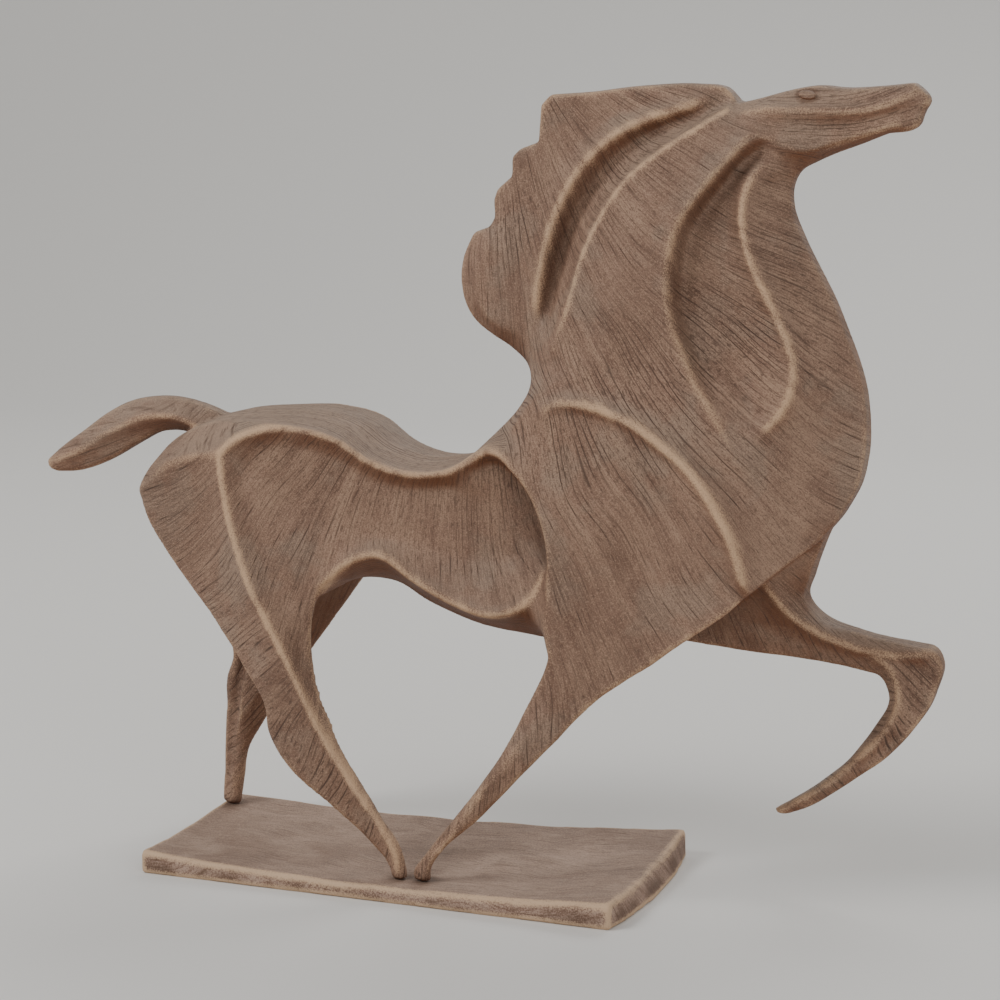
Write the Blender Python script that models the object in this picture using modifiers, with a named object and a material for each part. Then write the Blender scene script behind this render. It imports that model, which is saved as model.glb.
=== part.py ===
# Carved wooden horse on its own plinth.
# The horse is one piece of wood, worked the way a carver works a plank: its side profile is cut
# out, then both flanks are carved in relief. Ridges and hollows are drawn as curves with a depth,
# and the surface is stretched between them like a membrane, which leaves the crisp ridges and
# dished panels of the real carving. The plinth is a second, slightly cupped board.
import bpy
import numpy as np

# Driving dimensions, in metres
HORSE_HEIGHT = 0.470        # near feet to the crown of the head
PLINTH_END_MARGIN = 0.006   # board beyond the middle of the hindmost foot; with it, 304 mm long
PLINTH_SIDE_MARGIN = 0.0295 # board outside the feet's inner faces; with it, 145 mm wide
PLINTH_THICKNESS = 0.0071   # in the middle of the board, its thinnest place
PLINTH_FRONT_RISE = 0.0035  # how much thicker the board is at the horse's head end
PLINTH_END_CUP = 0.0059     # how much its top rises towards both ends
PLINTH_SIDE_CUP = 0.0025    # how much its top rises towards the long edges
PLINTH_TWIST = 0.001        # how far two opposite corners are up and the other two down
PLINTH_FLARE = 0.004        # how far the near long edge runs out towards the head end
PLINTH_SLANT = 0.0018       # how far the head end is off square
PLINTH_END_BULGE = 0.0075   # how far the foot of the head end bows out
PLINTH_ROUNDING = 0.0032    # radius worn onto the plinth's edges
FOOT_GAP = 0.0003           # clearance between the feet and the plinth

# Working sizes of the carving, in millimetres of the pattern
PATTERN_HEIGHT = 470.0      # the pattern below is drawn for a horse this high
PATTERN_FLOOR = 8.1         # pattern height of the plinth's top in the middle
CELL = 2.6                  # spacing of the grid on which the relief is worked out
EDGE_ROUNDING = 3.0         # radius left along the sawn profile
CURVE_STEP = 6.0            # spacing of the points taken along a drawn curve
CURVE_REACH = 24.0          # how far from a curve its distance still matters
LEG_EDGE = 5.0              # thickness of a standing leg along its edges
LEG_SWELL = 1.2             # how much thicker a leg gets for each mm inwards from its edges
RIDGE_PULL = 60.0           # how firmly the membrane is pinned to a curve
DISHING = 0.007             # how far the panels between ridges sink, as a curvature in 1/mm
HORSE_TRIANGLES = 9000

# The pattern. Every point is (x, z) or (x, z, d) in millimetres: x towards the head, z up from the
# floor, d out from the middle plane of the horse. Each stroke is smooth, and strokes meet in corners.

BACK_LINE = [(52, 267), (42, 259), (29, 254), (15, 253), (2, 255), (-10, 259), (-31, 272),
             (-48, 277), (-65, 279), (-90, 278), (-117, 275), (-135, 268), (-150, 256), (-164, 240),
             (-169, 230)]
BUTTOCK_LINE = [(-169, 230), (-163, 214), (-147, 192), (-133, 178), (-117, 161)]
GROIN_LINE = [(-117, 161), (-90, 158), (-66, 164), (-39, 178)]
KEEL_LINE = [(-39, 178), (-29, 181), (-9, 180), (13, 169), (43, 158), (85, 154), (110, 152)]
BRISKET_LINE = [(110, 152), (150, 152), (193, 174), (217, 194), (237, 211), (252, 223)]
CHEST_LINE = [(252, 223), (266, 241), (273, 255), (277, 283), (275, 309), (265, 338), (253, 366),
              (238, 394), (231, 412), (231, 423), (235, 431), (245, 437), (274, 449), (285, 453)]
MUZZLE_LINE = [(285, 453), (297, 455), (301, 457.5), (304, 466), (307.5, 471.5), (303, 477.5),
               (298, 481)]
FOREHEAD_LINE = [(298, 481), (280, 479), (261, 478), (245, 479), (228, 476), (200, 469)]
MANE_TOP_LINE = [(200, 469), (193, 477), (177, 479), (112, 474), (88, 472)]
MANE_STEPS = [(88, 472), (82, 466), (81, 445), (69, 441), (64, 436), (65, 425), (55, 417),
              (53, 411), (54, 401), (51, 395), (43, 390)]
MANE_REAR_LINE = [(43, 390), (38, 377), (37, 361), (42, 344), (52, 333), (64, 326), (76, 315),
                  (78, 305), (72, 292), (62, 279), (52, 267)]

NEAR_HIND_REAR = [(-169, 230), (-163, 214), (-147, 192), (-117, 161), (-95, 133), (-77, 104),
                  (-77, 93), (-63, 73), (-35, 51), (-8, 30), (3, 19), (6, 11), (6, 0)]
NEAR_HIND_FRONT = [(16, 0), (16, 10), (15, 18), (12, 28), (-2, 50), (-14, 68), (-26, 87), (-38, 112),
                   (-45, 132), (-48, 149), (-48, 161), (-46, 172), (-33, 190)]
NEAR_FORE_REAR = [(96, 238), (102, 212), (103, 172), (101, 145), (93, 128), (61, 71), (43, 48),
                  (25, 24), (19, 15), (20, 9), (20, 0)]
NEAR_FORE_FRONT = [(32, 0), (31, 9), (31, 16), (39, 30), (59, 49), (91, 84), (114, 109), (134, 130),
                   (167, 154), (193, 174), (217, 194), (224, 206)]
FAR_HIND_REAR = [(-169, 230), (-160, 208), (-148, 178), (-142, 150), (-140, 125), (-140, 111),
                 (-144, 99), (-147, 80), (-150, 39), (-152, 0)]
FAR_HIND_FRONT = [(-140, 0), (-137, 27), (-132, 51), (-123, 67), (-82, 126), (-49, 169), (-33, 190)]
FAR_FORE_FRONT = [(262, 240), (250, 218), (241, 195), (237, 182), (245, 170), (268, 162),
                  (302, 157), (313, 155), (317, 148), (313, 128), (300, 104), (286, 88), (259, 66),
                  (232, 48), (222, 45), (217, 48)]
FAR_FORE_REAR = [(217, 48), (241, 64), (262, 83), (277, 104), (286, 126), (281, 137), (270, 139),
                 (235, 144), (195, 147), (150, 153), (110, 165)]
TAIL_TOP = [(-100, 266), (-117, 275), (-139, 283), (-163, 285), (-186, 281), (-210, 266),
            (-233, 250), (-243, 241)]
TAIL_TIP = [(-243, 241), (-242, 236), (-237, 234)]
TAIL_UNDER = [(-237, 234), (-222, 235), (-200, 243), (-177, 256), (-160, 264), (-146, 265),
              (-125, 255), (-105, 250)]

OUTLINES = {
    "body": [BACK_LINE, BUTTOCK_LINE, GROIN_LINE, KEEL_LINE, BRISKET_LINE, CHEST_LINE, MUZZLE_LINE,
             FOREHEAD_LINE, MANE_TOP_LINE, MANE_STEPS, MANE_REAR_LINE],
    "near hind leg": [NEAR_HIND_REAR, NEAR_HIND_FRONT, [(-33, 190), (-50, 230), (-169, 230)]],
    "near foreleg": [NEAR_FORE_REAR, NEAR_FORE_FRONT, [(224, 206), (160, 250), (96, 238)]],
    "far hind leg": [FAR_HIND_REAR, FAR_HIND_FRONT, [(-33, 190), (-50, 230), (-169, 230)]],
    "far foreleg": [FAR_FORE_FRONT, FAR_FORE_REAR, [(110, 165), (160, 240), (262, 240)]],
    "tail": [TAIL_TOP, TAIL_TIP, TAIL_UNDER, [(-105, 250), (-100, 266)]],
}
ANGULAR = [MANE_STEPS]      # strokes drawn with straight pieces

# Depth of the surface along the profile of head, neck, mane, back and belly
RIM_CURVES = [
    [(52, 267, 30), (42, 259, 38), (15, 253, 38), (2, 255, 39), (-10, 259, 40), (-31, 272, 44),
     (-48, 277, 46), (-65, 279, 46)],
    [(-65, 279, 46), (-90, 278, 38), (-117, 275, 31), (-150, 256, 30), (-169, 230, 28)],
    [(-39, 178, 5), (-9, 180, 4), (13, 169, 4), (43, 158, 4), (98, 153, 10)],
    [(252, 223, 15), (266, 241, 11), (277, 283, 9), (265, 338, 8), (238, 394, 7), (231, 423, 6),
     (245, 437, 5), (285, 453, 5), (298, 453, 5), (307, 471, 6), (298, 481, 7)],
    [(298, 481, 7), (261, 478, 8), (228, 476, 9), (200, 469, 8), (177, 479, 6), (112, 474, 6),
     (88, 472, 5)],
    [(88, 472, 5), (81, 445, 5), (65, 425, 5), (54, 401, 5), (43, 390, 5), (37, 361, 5),
     (52, 333, 5), (76, 315, 6), (72, 292, 10), (62, 279, 18), (52, 267, 30)],
]

# Ridges, grooves and the floors of hollows that both flanks share
SHARED_CURVES = {
    "croup ridge": [(-65, 278, 48), (-80, 275, 49), (-93, 269, 50), (-103, 260, 50)],
    "rump ridge": [(-103, 260, 50), (-120, 257, 46), (-139, 251, 40), (-166, 233, 30)],
    "withers ridge": [(42, 258, 38), (52, 264, 41), (62, 270, 44), (71, 269, 47), (80, 261, 49),
                      (89, 251, 50), (96, 238, 51), (100, 228, 52), (103, 200, 52), (103, 172, 52)],
    "shoulder wall": [(52, 254, 34), (66, 261, 33), (77, 253, 30), (86, 242, 27), (94, 222, 24),
                      (97, 205, 24)],
    "belly rim": [(-42, 181, 41), (-33, 191, 40), (-24, 198, 39), (-9, 203, 38), (16, 189, 38),
                  (41, 177, 39), (65, 172, 40), (77, 175, 40), (86, 181, 39), (93, 192, 36),
                  (95, 207, 30)],
    "under the back ridge": [(-88, 254, 43), (-64, 264, 41), (-36, 259, 37), (-12, 246, 33),
                             (12, 241, 30), (38, 244, 29)],
    "flank floor": [(-66, 232, 38), (-42, 224, 35), (-15, 215, 31), (15, 211, 28), (45, 204, 26),
                    (74, 205, 23)],
    "shoulder ridge": [(95, 284, 44), (99, 296, 47), (106, 300, 49), (128, 300, 52), (149, 294, 55),
                       (171, 281, 57), (188, 267, 58), (203, 247, 59), (213, 226, 57),
                       (218, 206, 52), (221, 196, 48)],
    "shoulder panel": [(112, 268, 47), (138, 262, 48), (160, 240, 49), (172, 215, 50)],
    "valley before the shoulder": [(160, 303, 48), (186, 288, 46), (207, 266, 43), (221, 243, 40),
                                   (229, 220, 36)],
    "breast": [(240, 275, 29), (246, 250, 25), (243, 230, 24)],
    "crest ridge": [(195, 465, 15), (184, 458, 19), (160, 442, 25), (143, 428, 28), (131, 412, 30),
                    (118, 385, 34), (110, 355, 37), (101, 330, 39)],
    "crest fillet": [(182, 464, 9), (150, 444, 14), (128, 423, 16), (111, 397, 18), (103, 366, 22),
                     (96, 338, 28)],
    "mane groove": [(192, 468, 6), (178, 463, 8), (150, 450, 9), (126, 431, 10), (108, 404, 11),
                    (97, 374, 13), (91, 346, 17)],
    "mane edge": [(182, 470, 10), (166, 465, 12), (150, 460, 14), (138, 455, 16), (126, 447, 17),
                  (112, 433, 18), (100, 413, 19), (92, 391, 20), (87, 366, 20), (84, 341, 19)],
    "mane panel": [(150, 470, 7), (115, 455, 8), (92, 430, 9), (78, 400, 11), (70, 365, 12)],
    "mane rear panel": [(100, 466, 6), (80, 436, 6), (64, 405, 7)],
    "mane foot": [(54, 388, 10), (47, 370, 11), (50, 347, 11), (64, 337, 12)],
    "neck bulge": [(160, 420, 31), (146, 390, 36), (140, 360, 41), (136, 330, 45), (125, 315, 46)],
    "withers bulge": [(108, 312, 45), (92, 300, 42), (78, 284, 36)],
    "neck edge": [(209, 450, 22), (200, 440, 26), (191, 429, 29), (181, 416, 32), (173, 403, 34),
                  (169, 388, 37), (168, 373, 39), (169, 358, 41), (173, 346, 43), (180, 329, 44),
                  (189, 311, 44), (199, 294, 43), (206, 282, 42), (214, 271, 42)],
    "throat groove": [(213, 443, 14), (205, 436, 15), (196, 425, 17), (186, 412, 19),
                      (179, 401, 21), (175, 387, 23), (174, 372, 25), (175, 358, 28),
                      (179, 348, 30), (186, 331, 33), (200, 303, 39)],
    "throat floor": [(200, 412, 20), (194, 384, 22), (199, 352, 25), (210, 321, 28), (217, 298, 34)],
    "throat ridge": [(219, 437, 16), (213, 430, 22), (209, 420, 25), (208, 408, 28), (210, 396, 30),
                     (215, 382, 32), (222, 369, 34), (230, 354, 35), (237, 340, 36), (241, 325, 36),
                     (240, 312, 37), (234, 299, 37), (227, 291, 38), (220, 283, 38)],
    "throat pocket": [(222, 424, 11), (221, 406, 16), (228, 386, 20), (243, 355, 21),
                      (256, 322, 20), (256, 298, 19)],
    "forehead": [(212, 471, 11), (232, 472, 13), (252, 471, 13), (272, 472, 11), (290, 475, 9)],
    "brow ridge": [(206, 464, 15), (216, 466, 18), (233, 466, 18), (250, 466, 17), (264, 466, 15.5),
                   (277, 467, 13), (285, 469, 12), (292, 472.5, 10), (299, 475, 8)],
    "cheek": [(216, 459, 17), (235, 456, 15), (255, 456, 13), (275, 460, 10), (295, 466, 7)],
    "jaw ridge": [(200, 440, 26), (205, 446, 24), (209, 450.5, 22), (214, 451.5, 19),
                  (220, 450, 17), (229, 446, 16), (239, 444, 15), (256, 447, 13.5),
                  (268, 450.5, 12.5), (279, 454, 11.5), (290, 459, 9.5)],
}

# What differs between the two flanks: each leg's own edges and ridge
NEAR_CURVES = {
    "hind leg ridge": [(-103, 260, 50), (-98, 233, 54), (-90, 207, 57), (-80, 182, 60),
                       (-71, 165, 60), (-60, 145, 60), (-48, 121, 60), (-38, 101, 59),
                       (-24, 78, 58), (-12, 60, 57), (1, 42, 56), (10, 23, 55), (12, 8, 55)],
    "hind leg rear": [(-169, 230, 26), (-163, 214, 28), (-147, 192, 32), (-117, 161, 40),
                      (-95, 133, 45), (-76, 103, 48), (-62, 73, 50), (-8, 30, 52), (5, 10, 53)],
    "hind leg front": [(18, 12, 53), (12, 28, 53), (-2, 50, 52), (-14, 68, 51), (-26, 87, 50),
                       (-38, 112, 48), (-45, 132, 46), (-48, 149, 44), (-47, 165, 42),
                       (-42, 181, 41)],
    "hip wall": [(-90, 250, 43), (-82, 222, 46), (-70, 196, 47), (-58, 172, 46)],
    "foreleg rear": [(103, 172, 52), (101, 145, 53), (61, 71, 53), (21, 10, 53)],
    "foreleg front": [(30, 10, 53), (91, 84, 53), (134, 130, 54), (193, 174, 51), (217, 194, 46),
                      (237, 211, 27), (252, 223, 15)],
    "foreleg face": [(26, 12, 55), (50, 52, 57), (86, 98, 57), (120, 145, 54), (140, 180, 51)],
    "shin hollow": [(7, 38, 52), (-8, 60, 51.5), (-20, 80, 50.5), (-33, 106, 49), (-42, 128, 47),
                    (-50, 150, 45)],
}
FAR_CURVES = {
    "hind leg ridge": [(-103, 260, 50), (-104, 225, 54), (-112, 180, 57), (-122, 140, 59),
                       (-131, 105, 60), (-138, 70, 61), (-144, 35, 60), (-146, 12, 58)],
    "hind leg rear": [(-169, 230, 26), (-160, 208, 30), (-141, 150, 42), (-138, 111, 48),
                      (-146, 80, 52), (-152, 10, 54)],
    "hip hollow": [(-92, 245, 44), (-84, 205, 45), (-78, 175, 46)],
    "hind leg front": [(-139, 10, 55), (-132, 51, 54), (-123, 67, 53), (-82, 126, 50),
                       (-49, 169, 45), (-42, 181, 41)],
    "brisket": [(103, 172, 51), (108, 152, 49), (150, 152, 49), (193, 174, 50), (217, 194, 46),
                (237, 211, 27), (252, 223, 15)],
}
# The raised foreleg and the tail are lens-shaped: d here is half their thickness
RAISED_LEG_CURVES = {
    "front": [(262, 240, 8), (241, 195, 12), (237, 182, 11), (268, 162, 8), (313, 155, 7),
              (317, 148, 7), (300, 104, 7), (259, 66, 6), (217, 48, 5)],
    "rear": [(217, 48, 5), (262, 83, 6), (286, 126, 7), (270, 139, 7), (195, 147, 11),
             (150, 153, 14), (110, 165, 16)],
    "arm ridge": [(213, 216, 33), (217, 200, 30), (223, 186, 25), (234, 171, 20), (246, 163, 17),
                  (260, 157, 14), (285, 152, 12), (312, 153, 9)],
    "arm hollow": [(150, 180, 17), (195, 166, 16), (235, 153, 11), (268, 146, 9)],
    "shank ridge": [(272, 149, 10), (283, 147, 11), (291, 137, 11.5), (293, 125, 12),
                    (289, 113, 12), (281, 100, 11.5), (268, 86, 10.5), (254, 72, 9), (237, 60, 8),
                    (222, 51, 6)],
    "shank hollow": [(304, 144, 7), (304, 122, 7), (292, 99, 7), (272, 80, 6.5)],
}
TAIL_CURVES = {
    "top": [(-100, 267, 7), (-139, 283, 5), (-186, 281, 5), (-243, 241, 4)],
    "under": [(-237, 234, 4), (-200, 243, 5), (-160, 264, 6), (-105, 250, 9)],
    "ridge": [(-241, 239, 5), (-217, 250, 9), (-194, 263, 11), (-171, 273, 12), (-149, 274, 13),
              (-128, 266, 13), (-105, 258, 13)],
}
# Height against depth of the inner face of each standing leg, from the foot up into the body
INNER_FACES = {
    "near hind leg": [(0, 43), (50, 42), (100, 38), (125, 33), (150, 19), (170, -4)],
    "near foreleg": [(0, 43), (50, 42), (100, 39), (130, 32), (150, 18), (165, -8)],
    "far hind leg": [(0, 43), (50, 42), (100, 37), (130, 28), (155, 10), (175, -8)],
}
# Height against the depth of the raised foreleg's middle plane
RAISED_LEG_DEPTH = [(45, -38), (140, -36), (165, -34), (185, -28), (205, -20), (230, -10)]
BACK_CROWN = [(-150, 0), (-120, 2), (-60, 3), (-10, 4.5), (30, 4.5), (52, 0)]  # x against height

# What follows from the sizes and the pattern, in metres: the board reaches past the hind feet
SCALE = HORSE_HEIGHT / PATTERN_HEIGHT
HIND_FOOT = SCALE * (FAR_HIND_REAR[-1][0] + FAR_HIND_FRONT[0][0]) / 2
PLINTH_LENGTH = 2 * (PLINTH_END_MARGIN - HIND_FOOT)
PLINTH_WIDTH = 2 * (PLINTH_SIDE_MARGIN + SCALE * INNER_FACES["near hind leg"][0][1])


def smooth_curve(points, spacing=CURVE_STEP):
    """Evenly spread points on a smooth cubic through the given ones."""
    p = np.array(points, float)
    length = np.linalg.norm(np.diff(p[:, :2], axis=0), axis=1)
    along = np.concatenate(([0.0], np.cumsum(length)))
    slope = np.diff(p, axis=0) / length[:, None]
    before, after = length[:-1, None], length[1:, None]
    middle = (slope[:-1] * after + slope[1:] * before) / (before + after)
    tangent = np.vstack([slope[:1], middle, slope[-1:]])
    s = np.linspace(0, along[-1], max(2, int(along[-1] / spacing) + 2))
    i = np.clip(np.searchsorted(along, s, side="right") - 1, 0, len(length) - 1)
    step = length[i][:, None]
    u = (s - along[i])[:, None] / step
    start = (2 * u**3 - 3 * u**2 + 1) * p[i] + (u**3 - 2 * u**2 + u) * step * tangent[i]
    end = (3 * u**2 - 2 * u**3) * p[i + 1] + (u**3 - u**2) * step * tangent[i + 1]
    return start + end


def outline_points(strokes):
    """One closed outline from strokes that meet end to end."""
    drawn = [np.array(s, float) if s in ANGULAR else smooth_curve(s) for s in strokes]
    return np.vstack([d[:-1] for d in drawn] + [drawn[0][:1]])


def nearest_curve(curves, x, z, reach):
    """Distance from every grid point to the nearest curve, and that curve's depth there."""
    distance = np.full((len(x), len(z)), float(reach))
    depth = np.zeros_like(distance)
    for curve in curves:
        for a, b in zip(curve[:-1], curve[1:]):
            low, high = np.minimum(a, b)[:2] - reach, np.maximum(a, b)[:2] + reach
            i = slice(*np.searchsorted(x, (low[0], high[0])))
            k = slice(*np.searchsorted(z, (low[1], high[1])))
            dx, dz = x[i, None] - a[0], z[None, k] - a[1]
            run, rise = b[0] - a[0], b[1] - a[1]
            t = np.clip((dx * run + dz * rise) / (run * run + rise * rise + 1e-9), 0, 1)
            d = np.hypot(dx - t * run, dz - t * rise)
            closer = d < distance[i, k]
            distance[i, k] = np.where(closer, d, distance[i, k])
            if len(a) > 2:
                depth[i, k] = np.where(closer, a[2] + t * (b[2] - a[2]), depth[i, k])
    return distance, depth


def signed_distance(outline, x, z):
    """Distance to a closed outline, negative inside it."""
    distance, _ = nearest_curve([outline], x, z, CURVE_REACH)
    inside = np.zeros(distance.shape, bool)
    for (x0, z0), (x1, z1) in zip(outline[:-1], outline[1:]):
        if z0 != z1:
            beside = x[:, None] < x0 + (x1 - x0) * (z[None, :] - z0) / (z1 - z0)
            inside ^= ((z0 > z) != (z1 > z))[None, :] & beside
    return np.where(inside, -distance, distance)


def relax(height, pull, target, sag, rounds):
    """Lets the membrane settle: each point moves to its neighbours' mean less the sag, or its pin."""
    for _ in range(rounds):
        edge = np.pad(height, 1, mode="edge")
        around = edge[2:, 1:-1] + edge[:-2, 1:-1] + edge[1:-1, 2:] + edge[1:-1, :-2]
        height = (around + pull * target - sag) / (4 + pull)
    return height


def membrane(curves, x, z):
    """Depth over the whole grid, stretched between the curves, from a coarse grid to the fine one."""
    drawn = [smooth_curve(c) for c in curves]
    height = None
    for stride in (8, 4, 2, 1):
        xs, zs = x[::stride], z[::stride]
        width = CELL * stride
        distance, target = nearest_curve(drawn, xs, zs, 3 * width)
        pull = RIDGE_PULL * np.exp(-((distance / (0.6 * width)) ** 2))
        if height is None:
            height = np.full(distance.shape, target[pull > 1].mean())
        else:
            height = height.repeat(2, axis=0).repeat(2, axis=1)[: len(xs), : len(zs)]
        height = relax(height, pull, target, DISHING * width**2, 150)
    return height


def steepness(height):
    """Length of a surface normal over its depth part, which turns depth into distance."""
    rise, run = np.gradient(height, CELL)
    return np.sqrt(1 + np.minimum(rise**2 + run**2, 8.0))


def rounded_max(a, b, radius):
    """The larger of two fields, with the corner between them rounded off."""
    return np.maximum(a, b) + np.maximum(radius - np.abs(a - b), 0) ** 2 / (4 * radius)


def slab(outline, outer, inner, depth):
    """Field of the wood between an inner and an outer face, within an outline."""
    above = (depth - outer[:, None, :]) / steepness(outer)[:, None, :]
    below = (inner[:, None, :] - depth) / steepness(inner)[:, None, :]
    return rounded_max(rounded_max(above, below, EDGE_ROUNDING), outline, EDGE_ROUNDING)


def table(pairs, values):
    """A value read off a short table of (position, value) pairs."""
    positions, results = zip(*pairs)
    return np.interp(values, positions, results)


def carve_field(x, y, z):
    """Field over the block, negative inside the horse."""
    near = membrane(RIM_CURVES + list(SHARED_CURVES.values()) + list(NEAR_CURVES.values()), x, z)
    far = membrane(RIM_CURVES + list(SHARED_CURVES.values()) + list(FAR_CURVES.values()), x, z)
    edge = {name: signed_distance(outline_points(strokes), x, z)[:, None, :]
            for name, strokes in OUTLINES.items()}
    depth = -y[None, :, None]

    on_back = np.clip((z - 215) / 20, 0, 1)[None, None, :]
    roof = np.clip(1 - np.abs(depth) / 42, 0, 1)
    crown = table(BACK_CROWN, x)[:, None, None] * roof * on_back
    field = slab(edge["body"] - crown, near, -far, depth)

    for name, outer, side in (("near hind leg", near, depth), ("near foreleg", near, depth),
                              ("far hind leg", far, -depth)):
        inner = table(INNER_FACES[name], z)[None, :]
        inner = np.maximum(inner, outer - LEG_EDGE - LEG_SWELL * np.maximum(-edge[name][:, 0], 0))
        field = np.minimum(field, slab(edge[name], outer, inner, side))

    half = membrane(list(RAISED_LEG_CURVES.values()), x, z)
    middle = table(RAISED_LEG_DEPTH, z)[None, :]
    field = np.minimum(field, slab(edge["far foreleg"], middle + half, middle - half, depth))
    half = membrane(list(TAIL_CURVES.values()), x, z)
    return np.minimum(field, slab(edge["tail"], half, -half, depth))


def soften(field):
    """Each value moved towards the mean of its six neighbours, which eases off pits and burrs."""
    for axis in range(3):
        wide = np.pad(field, [(1, 1) if n == axis else (0, 0) for n in range(3)], mode="edge")
        before = np.take(wide, range(field.shape[axis]), axis)
        after = np.take(wide, range(2, field.shape[axis] + 2), axis)
        field = (before + 4 * field + after) / 6
    return field


def close_pinches(field):
    """Fills in where two parts of the surface would meet along a line, corner to corner."""
    for _ in range(20):
        inside = field < 0
        pinched = np.zeros_like(inside)
        for axis in range(3):
            u, v = [n for n in range(3) if n != axis]
            low, high = slice(None, -1), slice(1, None)
            places = []
            for pair in ((low, low), (high, low), (high, high), (low, high)):
                place = [slice(None)] * 3
                place[u], place[v] = pair
                places.append(tuple(place))
            a, b, c, d = (inside[place] for place in places)
            crossed = (a == c) & (b == d) & (a != b)
            for place in places:
                pinched[place] |= crossed
        pinched &= ~inside
        if not pinched.any():
            break
        field = np.where(pinched, -0.1 * CELL, field)
    return field


def surface_net(field, x, y, z):
    """Points and four-sided faces of the field's zero surface: one point in each cell that it cuts."""
    inside = field < 0
    shape = np.array(field.shape) - 1
    total = np.zeros((*shape, 3))
    count = np.zeros(tuple(shape))
    corners = [(i, j, k) for i in (0, 1) for j in (0, 1) for k in (0, 1)]

    def at(array, corner):
        return array[tuple(slice(c, c + n) for c, n in zip(corner, shape))]

    for a in corners:
        for axis in range(3):
            if a[axis]:
                continue
            b = tuple(c + (n == axis) for n, c in enumerate(a))
            cut = at(inside, a) != at(inside, b)
            fa, fb = at(field, a)[cut], at(field, b)[cut]
            place = np.tile(np.array(a, float), (len(fa), 1))
            place[:, axis] = fa / (fa - fb)
            total[cut] += place
            count[cut] += 1
    used = count > 0
    number = np.full(tuple(shape), -1)
    number[used] = np.arange(used.sum())
    cells = np.argwhere(used)
    points = cells + total[used] / count[used][:, None]
    spacing = np.array([x[1] - x[0], y[1] - y[0], z[1] - z[0]])
    points = points * spacing + (x[0], y[0], z[0])

    faces = []
    for axis in range(3):
        u, v = (axis + 1) % 3, (axis + 2) % 3
        ahead = [slice(1, -1)] * 3
        ahead[axis] = slice(1, None)
        here = [slice(1, -1)] * 3
        here[axis] = slice(None, -1)
        first, second = inside[tuple(here)], inside[tuple(ahead)]
        for cut, turned in ((first & ~second, False), (second & ~first, True)):
            cell = np.argwhere(cut)
            cell[:, u] += 1
            cell[:, v] += 1
            ring = []
            for du, dv in ((-1, -1), (0, -1), (0, 0), (-1, 0)):
                c = cell.copy()
                c[:, u] += du
                c[:, v] += dv
                ring.append(number[tuple(c.T)])
            faces.append(np.stack(ring[::-1] if turned else ring, axis=1))
    return points, np.vstack(faces)


def plinth_top(u, v):
    """Height of the cupped board's top, u and v running from -1 to 1 along and across it."""
    cupped = PLINTH_THICKNESS + PLINTH_END_CUP * u * u + PLINTH_SIDE_CUP * v * v
    return cupped + PLINTH_FRONT_RISE * u / 2 + PLINTH_TWIST * u * v


def wood(name, colour, roughness):
    material = bpy.data.materials.new(name)
    material.use_nodes = True
    shader = material.node_tree.nodes["Principled BSDF"]
    shader.inputs["Base Color"].default_value = (*colour, 1)
    shader.inputs["Roughness"].default_value = roughness
    shader.inputs["Metallic"].default_value = 0
    return material


def new_object(name, points, faces, material, collection):
    mesh = bpy.data.meshes.new(name)
    mesh.from_pydata(points.tolist(), [], faces.tolist())
    mesh.materials.append(material)
    made = bpy.data.objects.new(name, mesh)
    collection.objects.link(made)
    mesh.shade_smooth()
    return made


def make_plinth(name, lift, material, collection):
    """The board: a subdivided block, cupped on top and bowed at the front end, with worn edges."""
    bpy.ops.mesh.primitive_grid_add(x_subdivisions=15, y_subdivisions=7, size=2)
    plinth = bpy.context.object
    plinth.name = plinth.data.name = name
    for other in plinth.users_collection:
        other.objects.unlink(plinth)
    collection.objects.link(plinth)
    sheet = plinth.data
    flat = np.array([v.co for v in sheet.vertices])
    u, v = flat[:, 0], flat[:, 1]
    bow = (u > 0) * u**4 * (1 - v * v)
    x = PLINTH_LENGTH / 2 * u + PLINTH_SLANT * np.maximum(u, 0) * v
    y = PLINTH_WIDTH / 2 * v + PLINTH_FLARE * np.minimum(v, 0) * u
    top = np.stack([x + 0.1 * PLINTH_END_BULGE * bow, y, plinth_top(u, v) + lift], axis=1)
    foot = np.stack([x + PLINTH_END_BULGE * bow, y, np.zeros(len(u))], axis=1)
    faces = np.array([list(p.vertices) for p in sheet.polygons])
    rim = [tuple(e.vertices) for e in sheet.edges
           if max(abs(u[e.vertices[0]] + u[e.vertices[1]]), abs(v[e.vertices[0]] + v[e.vertices[1]])) > 1.999]
    n = len(u)
    walls = []
    for a, b in rim:
        out = np.array([u[a] + u[b], v[a] + v[b]]) / 2
        run = np.array([u[b] - u[a], v[b] - v[a]])
        forward = out[0] * run[1] - out[1] * run[0] > 0
        a, b = (a, b) if forward else (b, a)
        walls.append((a + n, b + n, b, a))
    sheet.clear_geometry()
    sheet.from_pydata(np.vstack([top, foot]).tolist(), [],
                      faces.tolist() + (faces[:, ::-1] + n).tolist() + walls)
    sheet.materials.clear()
    sheet.materials.append(material)
    worn = plinth.modifiers.new("worn edges", "BEVEL")
    worn.width = PLINTH_ROUNDING
    worn.segments = 2
    worn.limit_method = "ANGLE"
    worn.angle_limit = np.radians(50)
    sheet.shade_smooth()
    return plinth


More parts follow.
